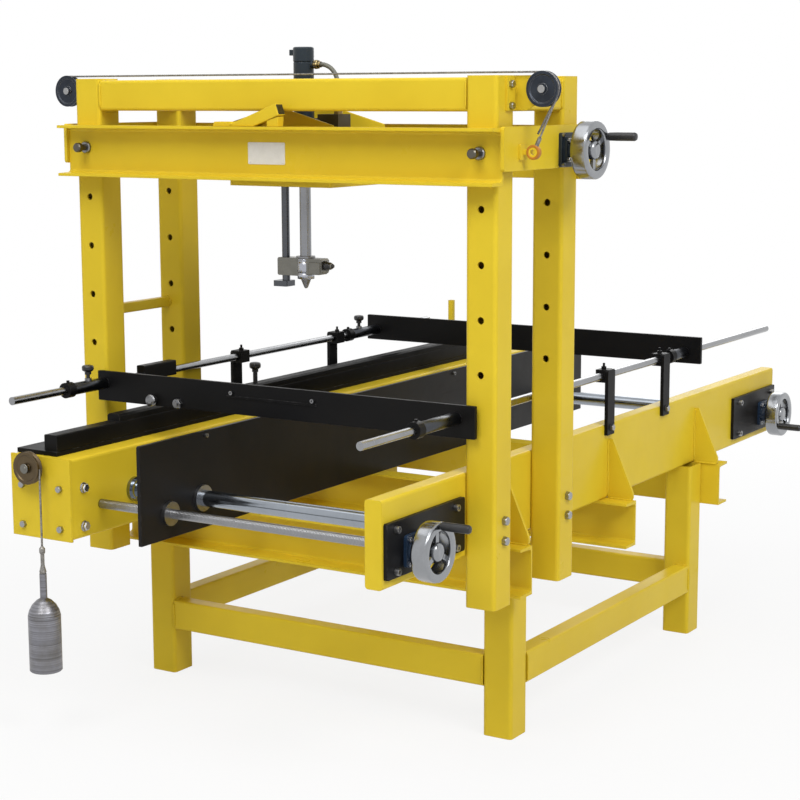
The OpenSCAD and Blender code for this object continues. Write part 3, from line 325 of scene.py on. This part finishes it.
finishes = {
    yellow: "posts tie_tubes legs stretchers bed_channels gussets beam_right beam_left sheave_brackets"
    " stop_post crossbeam_channels crossbeam_ends crossbeam_strut carriage_base rope_eye",
    black: "drive_plates carriage_cheeks support_plate",
    gunmetal: "valve_block",
    blacked: "fixed_rail rod_arms front_bar rear_bar",
    slate: "ram_barrel cross_bearing",
    blue: "drive_bearings",
    ground_x: "guide_shafts cross_shaft",
    ground_y: "long_rods",
    ground_z: "piston_rod",
    dark_rod: "guide_rod",
    machined_x: "plate_bushes carriage_bushes",
    machined_y: "beam_fittings front_fittings rear_sleeves",
    dark_pin: "pin_front_left pin_front_right pin_rear_left pin_rear_right",
    head_steel: "ram_head",
    machined_z: "load_cell",
    chrome: "cross_drive near_drive far_drive",
    zinc: "frame_bolts",
    iron: "sheave_left sheave_right",
    bronze: "drum",
    grip: "cross_grip near_grip far_grip stop_knob front_knob rear_knob",
    rope: "lift_rope rope_drop weight_rope",
    hose: "air_hose",
    turned_weight: "weight",
}
for finish, names in finishes.items():
    for name in names.split():
        for place in nodes[name].material_slots:
            place.material = finish

# ---------------------------------------------------------------- mesh helpers


def solids(name):
    """The box of each separate solid of a CAD node, as (low, high) pairs."""
    work = bmesh.new()
    work.from_mesh(nodes[name].data)
    bmesh.ops.remove_doubles(work, verts=work.verts, dist=1e-6)
    left = set(work.verts)
    found = []
    while left:
        grown, edge = set(), [left.pop()]
        while edge:
            v = edge.pop()
            grown.add(v)
            for e in v.link_edges:
                w = e.other_vert(v)
                if w in left:
                    left.remove(w)
                    edge.append(w)
        found.append(tuple(Vector([far(v.co[i] for v in grown) for i in range(3)]) for far in (min, max)))
    work.free()
    return sorted(found, key=lambda b: tuple(b[0]))


def finished(work, name, finish, body, smooth=True):
    """Turns a bmesh into a piece that rides on a body."""
    bmesh.ops.remove_doubles(work, verts=work.verts, dist=1e-6)
    bmesh.ops.recalc_face_normals(work, faces=work.faces)
    mesh = bpy.data.meshes.new(name)
    work.to_mesh(mesh)
    work.free()
    if smooth:
        mesh.shade_smooth()
    mesh.materials.append(finish)
    piece = bpy.data.objects.new(name, mesh)
    scene.collection.objects.link(piece)
    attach(piece, body)
    return piece


def skin(work, rings, closed=True, capped=False):
    """Quads between rows of points."""
    rows = [[work.verts.new(p) for p in ring] for ring in rings]
    around = len(rows[0])
    for a, b in zip(rows, rows[1:]):
        for i in range(around if closed else around - 1):
            j = (i + 1) % around
            work.faces.new((a[i], a[j], b[j], b[i]))
    if capped:
        work.faces.new(list(reversed(rows[0])))
        work.faces.new(rows[-1])


WELD_LEG, WELD_RIPPLE = 0.005, 0.0045


def bead(work, start, end, out_a, out_b):
    """Fillet weld from start to end in the corner between two faces that look out_a and out_b."""
    along = end - start
    steps = max(3, int(along.length / WELD_RIPPLE))
    rings = []
    for i in range(steps + 1):
        t = i / steps
        s = WELD_LEG * (1.0 + 0.10 * math.sin(37.0 * t + 5.0 * start.x) + chance.uniform(-0.07, 0.07))
        crown = s * (0.60 + 0.10 * (i % 2))
        fade = min(1.0, 4.0 * min(t, 1.0 - t) * steps / 6.0 + 0.35)
        p = start + along * t
        rings.append(
            (
                p - (out_a + out_b) * 0.0006,
                p + out_a * s * fade,
                p + (out_a + out_b) * crown * fade,
                p + out_b * s * fade,
            )
        )
    skin(work, rings, capped=True)


def collar(work, low, high, axis, side, inset):
    """Weld all round the end of a square tube that butts on a wall; side is -1 or 1 along axis."""
    wall = Vector((0, 0, 0))
    wall[axis] = -side
    u, v = [i for i in range(3) if i != axis]
    for across, along in ((u, v), (v, u)):
        for s in (-1, 1):
            face = Vector((0, 0, 0))
            face[across] = s
            a, b = low.copy(), low.copy()
            a[axis] = b[axis] = high[axis] if side > 0 else low[axis]
            a[across] = b[across] = high[across] if s > 0 else low[across]
            a[along], b[along] = low[along] + inset, high[along] - inset
            bead(work, a, b, face, wall)


def ridge(work, start, length, root, crest, lead, sides=20):
    """Screw thread along +X: one rounded helical ridge on a plain shaft."""
    count = int(length / lead * sides)
    profile = ((-0.42, root), (-0.12, crest), (0.12, crest), (0.42, root))
    rings = []
    for i in range(count + 1):
        a = 2 * math.pi * i / sides
        x = start.x + lead * i / sides
        y, z = math.cos(a), math.sin(a)
        rings.append([Vector((x + f * lead, start.y + r * y, start.z + r * z)) for f, r in profile])
    skin(work, rings, closed=False)


def circle(centre, u, v, radius, points, turn=0.0):
    """Points round a circle in the plane of u and v."""
    angles = [turn + 2 * math.pi * i / points for i in range(points)]
    return [centre + (u * math.cos(a) + v * math.sin(a)) * radius for a in angles]


STRANDS, STRAND_SIDES = 6, 6
ROPE_LEAD, ROPE_STEP = 0.045, 0.0045


def lay(work, path, radius):
    """Wire rope along a path of points: helical strands round a core."""
    points = [path[0]]
    for a, b in zip(path, path[1:]):
        n = max(1, int((b - a).length / ROPE_STEP))
        points += [a.lerp(b, (i + 1) / n) for i in range(n)]
    side = Y
    run = 0.0
    frames = []
    for i, p in enumerate(points):
        ahead = points[min(i + 1, len(points) - 1)] - points[max(i - 1, 0)]
        ahead.normalize()
        side = (side - ahead * side.dot(ahead)).normalized()
        if i:
            run += (p - points[i - 1]).length
        frames.append((p, side.copy(), ahead.cross(side), run))
    for k in range(STRANDS):
        rings = []
        for p, u, v, s in frames:
            a = 2 * math.pi * (k / STRANDS + s / ROPE_LEAD)
            centre = p + (u * math.cos(a) + v * math.sin(a)) * radius * 0.64
            rings.append(circle(centre, u, v, radius * 0.36, STRAND_SIDES, turn=a))
        skin(work, rings, capped=True)
    skin(work, [circle(p, u, v, radius * 0.5, STRAND_SIDES) for p, u, v, s in frames], capped=True)


def revolve(work, centre, axis, profile, sides=48, hollow=False):
    """Solid of revolution from (along, radius) pairs; a hollow profile runs round to its start."""
    u, v = [unit for unit in (X, Y, Z) if abs(unit.dot(axis)) < 0.5]
    if hollow:
        profile = profile + profile[:1]
    rings = [circle(centre + axis * along, u, v, radius, sides) for along, radius in profile]
    skin(work, rings, capped=not hollow)


def cushion(middle, radius, half_long, half_thick, points=32):
    """Profile of a rim: a rounded rectangle, as a superellipse of the sixth power."""
    outline = []
    for i in range(points):
        c, s = math.cos(2 * math.pi * i / points), math.sin(2 * math.pi * i / points)
        along = middle + half_long * math.copysign(abs(c) ** (1 / 3), c)
        outline.append((along, radius + half_thick * math.copysign(abs(s) ** (1 / 3), s)))
    return outline


def prism(work, outline, low, high, edge):
    """Plate or bar from an outline in X and Z, between two depths along Y, with eased edges."""
    box = bmesh.new()
    rows = [[Vector((x, y, z)) for x, z in outline] for y in (low, high)]
    skin(box, rows, capped=True)
    bmesh.ops.bevel(box, geom=box.edges[:], offset=edge, segments=2, affect="EDGES", profile=0.6)
    soft = bpy.data.meshes.new("part")
    box.to_mesh(soft)
    box.free()
    work.from_mesh(soft)
    bpy.data.meshes.remove(soft)


def hex_bolt(work, at, axis, across):
    """Hexagon head with a round washer under it, standing out from a face along its axis."""
    r = across / 2
    revolve(work, at, axis, [(0.0, 1.25 * r), (0.0014, 1.25 * r), (0.0018, 1.18 * r)], sides=24)
    revolve(work, at, axis, [(0.0018, 1.1 * r), (0.85 * r, 1.1 * r), (1.05 * r, 0.86 * r)], sides=6)


# ---------------------------------------------------------------- deep rims of the handwheels

GRIP_OUT = 0.0955  # from a wheel's outer face to its grip's end
RIM_BACK, RIM_INSET = 0.0126, 0.0132  # the rim's middle: behind that face, inside the wheel's edge
RIM_HALF_DEPTH, RIM_HALF_THICK = 0.0248, 0.0135
HUB = [(-0.0480, 0.0262), (-0.046, 0.0275), (0.004, 0.0275)]
HUB += [(0.0106, 0.0215), (0.0114, 0.012), (0.0109, 0.006)]

for node, body in (("near_drive", "near_screw"), ("far_drive", "far_screw"), ("cross_drive", "cross_screw")):
    low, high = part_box(node)
    radius = (high.z - low.z) / 2
    face = Vector((high.x - GRIP_OUT, (low.y + high.y) / 2, (low.z + high.z) / 2))
    rim = cushion(-RIM_BACK, radius - RIM_INSET, RIM_HALF_DEPTH, RIM_HALF_THICK)
    work = bmesh.new()
    revolve(work, face, X, rim, sides=96, hollow=True)
    revolve(work, face, X, HUB, sides=48)
    finished(work, node + "_rim", chrome, body)

# ---------------------------------------------------------------- bolts that stand out bright

SOCKET_HEAD = [(0.0, 0.0075), (0.0072, 0.0075), (0.0082, 0.0062), (0.0082, 0.0036), (0.0045, 0.0036)]
BEARING_SIDE = 0.06  # only the square flanges are wider than this
SCREW_PLACE = 0.37  # of the flange's width, from its middle


def bearing_bolts(work, node, flange, across):
    """Four socket screws on the square flange of each bearing of a node."""
    off = across * SCREW_PLACE
    for low, high in solids(node):
        if high.y - low.y < BEARING_SIDE:
            continue
        middle = (low + high) / 2
        for sy in (-1, 1):
            for sz in (-1, 1):
                at = Vector((low.x + flange, middle.y + sy * off, middle.z + sz * off))
                revolve(work, at, X, SOCKET_HEAD, sides=6)


low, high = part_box("beam_left")
bolt_back, bolt_rises, bolt_across = 0.060, (0.041, 0.160), 0.026
work = bmesh.new()
for rise in bolt_rises:
    hex_bolt(work, Vector((high.x, low.y + bolt_back, low.z + rise)), X, bolt_across)
bearing_bolts(work, "drive_bearings", 0.011, 0.092)
finished(work, "bright_bolts", bright, "frame", smooth=False)
work = bmesh.new()
bearing_bolts(work, "cross_bearing", 0.021, 0.076)
finished(work, "cross_bolts", bright, "crossbeam", smooth=False)

# ---------------------------------------------------------------- drum cap and rope eye

low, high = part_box("drum")
axle = (low + high) / 2
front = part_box("sheave_brackets")[0].y
work = bmesh.new()
domed = [(0.0030, 0.0150), (0.0, 0.0150), (-0.0012, 0.0140)]
domed += [(-0.0016, 0.0080), (-0.0026, 0.0076), (-0.0030, 0.004)]
revolve(work, Vector((axle.x, front + 0.0006, axle.z)), Y, domed, sides=40)
finished(work, "drum_cap", head_steel, "frame", smooth=False)

low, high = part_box("rope_eye")
eye_radius, eye_half_depth, eye_half_thick = 0.0170, 0.0078, 0.0040
work = bmesh.new()
eye = Vector((high.x - eye_radius, (low.y + high.y) / 2, (low.z + high.z) / 2))
revolve(work, eye, Y, cushion(0.0, eye_radius, eye_half_depth, eye_half_thick), sides=48, hollow=True)
finished(work, "eye_ring", orange, "crossbeam")

# ---------------------------------------------------------------- blackened sleeves on the rods

SLEEVE = 0.0185  # radius of the CAD's sleeves
SLEEVE_LENGTH = 0.1  # collars and clamps are shorter
rods = [(low + high) / 2 for low, high in solids("long_rods")]
for node, body in (("front_fittings", "front_bar"), ("rear_sleeves", "rear_bar")):
    work = bmesh.new()
    for low, high in solids(node):
        length = high.y - low.y
        if length <= SLEEVE_LENGTH:
            continue
        across = (low.x + high.x) / 2
        rod = min(rods, key=lambda r: abs(r.x - across))
        inner, outer = SLEEVE - 0.001, SLEEVE + 0.0007
        coat = [(0.0006, inner), (0.0006, SLEEVE), (0.0016, outer)]
        coat += [(length - 0.0030, outer), (length - 0.0020, SLEEVE), (length - 0.0020, inner)]
        revolve(work, Vector((across, low.y, rod.z)), Y, coat, sides=48, hollow=True)
    finished(work, node + "_skin", blackened, body)

# ---------------------------------------------------------------- ram head, sensor and hose ends

head_low, head_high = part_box("ram_head")
rod_low, rod_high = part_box("piston_rod")
barrel_low, barrel_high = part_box("ram_barrel")
hose_low, hose_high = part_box("air_hose")
ram = (rod_low + rod_high) / 2
tall = head_high.z - head_low.z

# the sensor's can, grooved near both ends
can = [(-0.008, 0.0225), (-0.0095, 0.0265), (0.006, 0.0275), (0.007, 0.0262), (0.010, 0.0262)]
can += [(0.011, 0.0275), (tall - 0.012, 0.0275), (tall - 0.011, 0.0262), (tall - 0.008, 0.0262)]
can += [(tall - 0.007, 0.0275), (tall - 0.0015, 0.0270), (tall - 0.0005, 0.0240)]
work = bmesh.new()
revolve(work, Vector((ram.x, ram.y, head_low.z)), Z, can, sides=64)
finished(work, "sensor_body", sensor, "ram")

PLUG_RISE = 0.034  # of the plug's axis over the head's underside
boot = [(-0.0345, 0.0110), (-0.0340, 0.0145), (-0.0250, 0.0150), (-0.0235, 0.0128), (-0.0205, 0.0128)]
boot += [(-0.0190, 0.0118), (-0.0120, 0.0116), (-0.0100, 0.0106), (-0.0004, 0.0052), (0.0, 0.0030)]
work = bmesh.new()
revolve(work, Vector((head_high.x, ram.y, head_low.z + PLUG_RISE)), X, boot, sides=40)
finished(work, "sensor_plug", grip, "ram")

PORT_DROP = 0.054  # of the side port's axis under the barrel's top
side_port = Vector((hose_low.x, ram.y, barrel_high.z - PORT_DROP))
foot_port = Vector((hose_high.x - 0.0045, ram.y, hose_low.z))
side_nut = [(-0.0235, 0.0132), (-0.0225, 0.0146), (-0.0115, 0.0146), (-0.0105, 0.0132)]
side_ferrule = [(-0.0100, 0.0096), (-0.0020, 0.0096), (-0.0010, 0.0085)]
foot_nut = [(-0.0225, 0.0122), (-0.0215, 0.0134), (-0.0110, 0.0134), (-0.0100, 0.0122)]
foot_ferrule = [(-0.0095, 0.0096), (-0.0015, 0.0096), (-0.0008, 0.0085)]
work = bmesh.new()
for port, axis, nut, ferrule in (
    (side_port, X, side_nut, side_ferrule),
    (foot_port, Z, foot_nut, foot_ferrule),
):
    revolve(work, port, axis, nut, sides=6)
    revolve(work, port, axis, ferrule, sides=32)
finished(work, "hose_nuts", brass, "carriage", smooth=False)

# ---------------------------------------------------------------- carriage yokes

YOKE_HALF, BRIM_HALF, CROWN_HALF = 0.150, 0.205, 0.025
YOKE_THICK = 0.007
cheek_low, cheek_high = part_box("carriage_cheeks")
base_top = cheek_low.z + 0.002
brim, crown = cheek_high.z + 0.014, cheek_high.z + 0.064
half = [
    (YOKE_HALF, base_top),
    (YOKE_HALF, brim - 0.027),
    (BRIM_HALF, brim - 0.012),
    (BRIM_HALF, brim),
    (CROWN_HALF, crown),
]
outline = [(ram.x + across, height) for across, height in half]
outline += [(ram.x - across, height) for across, height in reversed(half)]
work = bmesh.new()
for near in (cheek_low.y - YOKE_THICK - 0.0005, cheek_high.y + 0.0005):
    prism(work, outline, near, near + YOKE_THICK, edge=0.0012)
finished(work, "carriage_yokes", yellow, "carriage", smooth=False)

# ---------------------------------------------------------------- ram barrel

BORE, WALL = 0.0300, 0.0318  # radii inside and outside
GLAND, FLANGE, BELT = 0.0188, 0.0430, 0.0460  # radii of the rod's way, the foot and the collar
tall = barrel_high.z - barrel_low.z
shell = [(0.0, GLAND), (0.0, FLANGE), (0.014, FLANGE), (0.020, WALL), (0.155, WALL), (0.1555, BELT)]
shell += [(0.163, BELT), (0.165, BELT - 0.002), (0.166, WALL), (tall - 0.048, WALL)]
shell += [(tall - 0.047, WALL - 0.0012), (tall - 0.045, WALL - 0.0012)]
shell += [(tall - 0.044, WALL + 0.0008), (tall - 0.004, WALL + 0.0008)]
shell += [(tall - 0.0015, WALL - 0.0008), (tall, WALL - 0.004), (tall, 0.0), (tall - 0.016, 0.0)]
shell += [(tall - 0.016, BORE), (0.024, BORE), (0.024, GLAND)]
boss = [(-0.0360, 0.0125), (-0.0285, 0.0125), (-0.0275, 0.0115)]
lug_out, lug_in = ram.x - 0.046, ram.x - 0.0305
lug_foot, lug_top = barrel_high.z - 0.026, barrel_high.z - 0.008
lug = [(lug_out, lug_foot), (lug_in, lug_foot), (lug_in, lug_top), (lug_out, lug_top)]
work = bmesh.new()
revolve(work, Vector((ram.x, ram.y, barrel_low.z)), Z, shell, sides=72, hollow=True)
revolve(work, side_port, X, boss, sides=32)
prism(work, lug, ram.y - 0.012, ram.y + 0.012, edge=0.0015)
barrel = finished(work, "ram_barrel_shell", slate, "carriage", smooth=False)
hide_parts("ram_barrel")

# ---------------------------------------------------------------- strut

STRUT_LEAN = math.radians(20)
STRUT_DEEP = 0.036  # side of the tube
strut_low, strut_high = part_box("crossbeam_strut")
side_low, side_high = strut_low.y, strut_high.y
base = strut_low.z
end_x, end_z = strut_high.x + 0.004, base + 0.034  # lower corner of the raised end
toe_x = end_x - (end_z - base) / math.tan(STRUT_LEAN)
tip_x, tip_z = end_x - STRUT_DEEP * math.sin(STRUT_LEAN), end_z + STRUT_DEEP * math.cos(STRUT_LEAN)
heel_x = tip_x - (tip_z - base) / math.tan(STRUT_LEAN)
tube = [(heel_x, base), (toe_x, base), (end_x, end_z), (tip_x, tip_z)]
support = [
    (end_x - 0.046, base),
    (end_x - 0.006, base),
    (end_x - 0.004, end_z - 0.004),
    (end_x - 0.046, end_z - 0.016),
]
shoe = [
    (heel_x - 0.046, base),
    (heel_x + 0.030, base),
    (heel_x + 0.024, base + 0.014),
    (heel_x - 0.040, base + 0.014),
]
work = bmesh.new()
prism(work, tube, side_low, side_high, edge=0.003)
prism(work, support, side_low + 0.003, side_high - 0.003, edge=0.002)
prism(work, shoe, side_low, side_high, edge=0.002)
strut = finished(work, "strut_tube", yellow, "crossbeam", smooth=False)
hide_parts("crossbeam_strut")

PLUG_IN, PLUG_OUT, PLUG_EDGE = -0.004, 0.0018, 0.003  # along the tube, and inside its walls
out = Vector((math.cos(STRUT_LEAN), 0, math.sin(STRUT_LEAN)))
up = Vector((-math.sin(STRUT_LEAN), 0, math.cos(STRUT_LEAN)))
corner = Vector((end_x, 0, end_z))
face = []
for along, rise in (
    (PLUG_IN, PLUG_EDGE),
    (PLUG_OUT, PLUG_EDGE),
    (PLUG_OUT, STRUT_DEEP - PLUG_EDGE),
    (PLUG_IN, STRUT_DEEP - PLUG_EDGE),
):
    spot = corner + out * along + up * rise
    face.append((spot.x, spot.z))
work = bmesh.new()
prism(work, face, side_low + PLUG_EDGE, side_high - PLUG_EDGE, edge=0.0012)
finished(work, "strut_plug", grip, "crossbeam", smooth=False)

# ---------------------------------------------------------------- threads on the three screws

THREAD_LEAD = 0.005
THREAD_GAP = 0.004  # plain shaft at each end
near_wall, far_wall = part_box("beam_left")[1].x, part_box("beam_right")[0].x
beam_low, beam_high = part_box("crossbeam_channels")
for node, body, root, left, right in (
    ("near_drive", "near_screw", 0.014, near_wall, far_wall),
    ("far_drive", "far_screw", 0.014, near_wall, far_wall),
    ("cross_drive", "cross_screw", 0.0125, beam_low.x, beam_high.x),
):
    low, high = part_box(node)
    start, stop = left + THREAD_GAP, right - THREAD_GAP
    centre = (low + high) / 2
    work = bmesh.new()
    ridge(work, Vector((start, centre.y, centre.z)), stop - start, root - 0.0001, root + 0.0005, THREAD_LEAD)
    finished(work, node + "_thread", machined_x, body)

# ---------------------------------------------------------------- weld beads

LONG_TUBE = 0.5  # welds on a longer tube stop further from its corners
work = bmesh.new()
for name in ("stretchers", "tie_tubes"):
    for low, high in solids(name):
        size = high - low
        axis = max(range(3), key=lambda i: size[i])
        for side in (-1, 1):
            collar(work, low, high, axis, side, inset=0.009 if size.length > LONG_TUBE else 0.005)

channel_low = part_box("bed_channels")[0]
for low, high in solids("legs"):
    front = low.y < 0
    y = low.y if front else high.y
    out = -Y if front else Y
    bead(work, Vector((low.x + 0.01, y, channel_low.z)), Vector((high.x - 0.01, y, channel_low.z)), out, -Z)

for low, high in solids("gussets"):
    right = low.x > 0
    x = low.x if right else high.x
    out = X if right else -X
    for y, face in ((low.y, -Y), (high.y, Y)):
        bead(work, Vector((x, y, low.z + 0.006)), Vector((x, y, high.z - 0.004)), out, face)
        bead(work, Vector((low.x + 0.004, y, low.z)), Vector((high.x - 0.004, y, low.z)), Z, face)
finished(work, "frame_welds", yellow, "frame")

# ---------------------------------------------------------------- label plate, left blank

label = Graph("label plate")
label_cloud = label.spread(label.noise(55.0, 4.0, 0.6), 0.35, 0.7)
label.set(
    Base_Color=label.mix(label_cloud, (0.72, 0.715, 0.69), (0.67, 0.665, 0.635)),
    Roughness=label.spread(label.noise(70.0, 3.0, 0.5), 0.3, 0.7, 0.28, 0.42),
    Normal=label.bump(label.noise(500.0, 2.0, 0.5), 0.00005),
)
LABEL_WIDE, LABEL_HIGH, LABEL_CORNER, LABEL_LEFT = 0.136, 0.066, 0.004, 0.013
FLANGE_DEEP, WEB_THICK = 0.065, 0.008
middle = (beam_low + beam_high) / 2
middle.x -= LABEL_LEFT
middle.y = beam_low.y + FLANGE_DEEP - WEB_THICK


def rounded(width, height, radius, steps=6):
    """Points round a rectangle with round corners."""
    points = []
    for cx, cz, a in ((1, 1, 0), (-1, 1, 90), (-1, -1, 180), (1, -1, 270)):
        for i in range(steps + 1):
            t = math.radians(a + 90 * i / steps)
            points.append(
                (
                    cx * (width / 2 - radius) + radius * math.cos(t),
                    cz * (height / 2 - radius) + radius * math.sin(t),
                )
            )
    return points


work = bmesh.new()
rings = []
for grow, out in ((0.0, 0.0), (0.0, 0.0010), (-0.0006, 0.0014)):
    edge = rounded(LABEL_WIDE + 2 * grow, LABEL_HIGH + 2 * grow, LABEL_CORNER + grow)
    rings.append([middle + Vector((x, -out, z)) for x, z in edge])
skin(work, rings, capped=True)
RIVET_X, RIVET_Z, RIVET_OUT = 0.061, 0.0265, 0.0013
RIVET = ((0.0026, 0.0), (0.0024, 0.0008), (0.0016, 0.0014), (0.0006, 0.0017))
for sx in (-1, 1):
    for sz in (-1, 1):
        at = middle + Vector((sx * RIVET_X, -RIVET_OUT, sz * RIVET_Z))
        skin(work, [circle(at - Y * rise, X, Z, radius, 12) for radius, rise in RIVET], capped=True)
finished(work, "label_plate", label.mat, "crossbeam", smooth=False)

# ---------------------------------------------------------------- wire rope

left_low, left_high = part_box("sheave_left")
right_low, right_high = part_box("sheave_right")
left, right = (left_low + left_high) / 2, (right_low + right_high) / 2
ROPE_RADIUS = 0.003
reach = (right_high.z - right_low.z) / 2 - ROPE_RADIUS
route = []
for wheel, degrees in ((left, range(240, 90, -5)), (right, range(90, -27, -4))):
    for t in map(math.radians, degrees):
        route.append(Vector((wheel.x + reach * math.cos(t), wheel.y, wheel.z + reach * math.sin(t))))
work = bmesh.new()
lay(work, route, ROPE_RADIUS)
lifted = finished(work, "lift_rope_strands", rope, "frame")
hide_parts("lift_rope")

# the two hanging runs keep their solid clamps and ferrules, so strands only wind round them
TOP_RING = 0.004  # points this near to the highest one belong to the rope's upper end
EYE_IN, EYE_UP = 0.0061, 0.030  # where the drop meets the eye, from its box's lower left corner
CLAMP_SHARE = 0.93  # of the way down to the eye, where the clamp begins
HOOK_HIGH = 0.087  # the crimped hook piece under the weight's rope
HANG_SHORT = 0.001  # strands stop this far under the rope's top
drop_low, drop_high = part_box("rope_drop")
heads = [v.co for v in nodes["rope_drop"].data.vertices]
peak = max(co.z for co in heads)
heads = [co for co in heads if co.z > peak - TOP_RING]
drop_top = sum(heads, Vector()) / len(heads)
drop_eye = Vector((drop_low.x + EYE_IN, (drop_low.y + drop_high.y) / 2, drop_low.z + EYE_UP))
drop_foot = drop_top.lerp(drop_eye, CLAMP_SHARE)

hang_low, hang_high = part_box("weight_rope")
hang_foot = (hang_low + hang_high) / 2
hang_foot.z = hang_low.z + HOOK_HIGH
hang_top = Vector((hang_foot.x, hang_foot.y, hang_high.z - HANG_SHORT))

for node, body, foot, top in (
    ("rope_drop", "crossbeam", drop_foot, drop_top),
    ("weight_rope", "weight", hang_foot, hang_top),
):
    work = bmesh.new()
    lay(work, [foot, top], ROPE_RADIUS + 0.0004)
    finished(work, node + "_strands", rope, body)

# ---------------------------------------------------------------- studio


def background_ray(tree):
    """1 for a ray that should see white behind the object: from the camera, off metal, through glass."""
    rays = tree.nodes.new("ShaderNodeLightPath").outputs
    seen = rays["Is Camera Ray"]
    for name in ("Is Glossy Ray", "Is Transmission Ray"):
        either = tree.nodes.new("ShaderNodeMath")
        either.operation = "MAXIMUM"
        tree.links.new(seen, either.inputs[0])
        tree.links.new(rays[name], either.inputs[1])
        seen = either.outputs[0]
    return seen


def blended(tree, share, first, second, target):
    """Mixes two shaders by share into the output socket."""
    blend = tree.nodes.new("ShaderNodeMixShader")
    for source, place in zip((share, first, second), blend.inputs):
        tree.links.new(source, place)
    tree.links.new(blend.outputs[0], target)


FLOOR_NEAR, FLOOR_FAR = 1.2, 4.2  # from where to where the floor fades to plain white
FLOOR_WHITE = 0.84  # share of white near the object: the rest carries its shadow
FLOOR_RADIUS, FLOOR_DROP = 22, 0.0004

floor_shader = Graph("floor")
tree = floor_shader.tree
glow = tree.nodes.new("ShaderNodeEmission")
glow.inputs["Color"].default_value = (1.0, 1.0, 1.0, 1.0)
glow.inputs["Strength"].default_value = 1.0
away = tree.nodes.new("ShaderNodeVectorMath")
away.operation = "LENGTH"
tree.links.new(floor_shader.place, away.inputs[0])
fade = floor_shader.spread(away.outputs["Value"], FLOOR_NEAR, FLOOR_FAR, FLOOR_WHITE, 1.0)
share = floor_shader.math("MULTIPLY", background_ray(tree), fade)
tint = floor_shader.mix(floor_shader.noise(3.0, 3.0, 0.5), (0.72, 0.72, 0.72), (0.70, 0.70, 0.70))
floor_shader.set(Base_Color=tint, Roughness=0.9, Specular_IOR_Level=0.0)
surface = tree.nodes["Material Output"].inputs["Surface"]
blended(tree, share, floor_shader.shader.outputs[0], glow.outputs[0], surface)

work = bmesh.new()
work.faces.new([work.verts.new(p) for p in circle(Z * -FLOOR_DROP, X, Y, FLOOR_RADIUS, 64)])
floor_mesh = bpy.data.meshes.new("floor")
work.to_mesh(floor_mesh)
work.free()
floor_mesh.materials.append(floor_shader.mat)
floor = bpy.data.objects.new("floor", floor_mesh)
scene.collection.objects.link(floor)
floor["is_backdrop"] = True

world = bpy.data.worlds.new("studio")
scene.world = world
world.use_nodes = True
sky = world.node_tree
plain = sky.nodes["Background"]
plain.inputs["Color"].default_value = (0.97, 0.98, 1.0, 1.0)
plain.inputs["Strength"].default_value = 0.46
white = sky.nodes.new("ShaderNodeBackground")
white.inputs["Color"].default_value = (1.0, 1.0, 1.0, 1.0)
white.inputs["Strength"].default_value = 1.0
surface = sky.nodes["World Output"].inputs["Surface"]
blended(sky, background_ray(sky), plain.outputs[0], white.outputs[0], surface)


def lamp(name, azimuth, height, distance, size, power, aim=1.0):
    """Soft square lamp at an azimuth from the machine's front, looking at its middle."""
    data = bpy.data.lights.new(name, "AREA")
    data.shape = "SQUARE"
    data.size = size
    data.energy = power
    thing = bpy.data.objects.new(name, data)
    a = math.radians(azimuth)
    thing.location = Vector((distance * math.sin(a), -distance * math.cos(a), height))
    look = Vector((0.0, 0.0, aim)) - thing.location
    thing.rotation_mode = "QUATERNION"
    thing.rotation_quaternion = look.to_track_quat("-Z", "Y")
    scene.collection.objects.link(thing)


# name, degrees round from the front, height, distance, side, watts
lamp("key", 66, 7.5, 7.5, 3.6, 450, aim=1.3)
lamp("front", 5, 8.6, 7.4, 4.5, 470, aim=1.2)
lamp("top", -40, 5.2, 1.5, 3.0, 30)
lamp("back", 190, 3.6, 6.0, 3.0, 60)

scene.view_settings.view_transform = "Standard"

low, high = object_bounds()
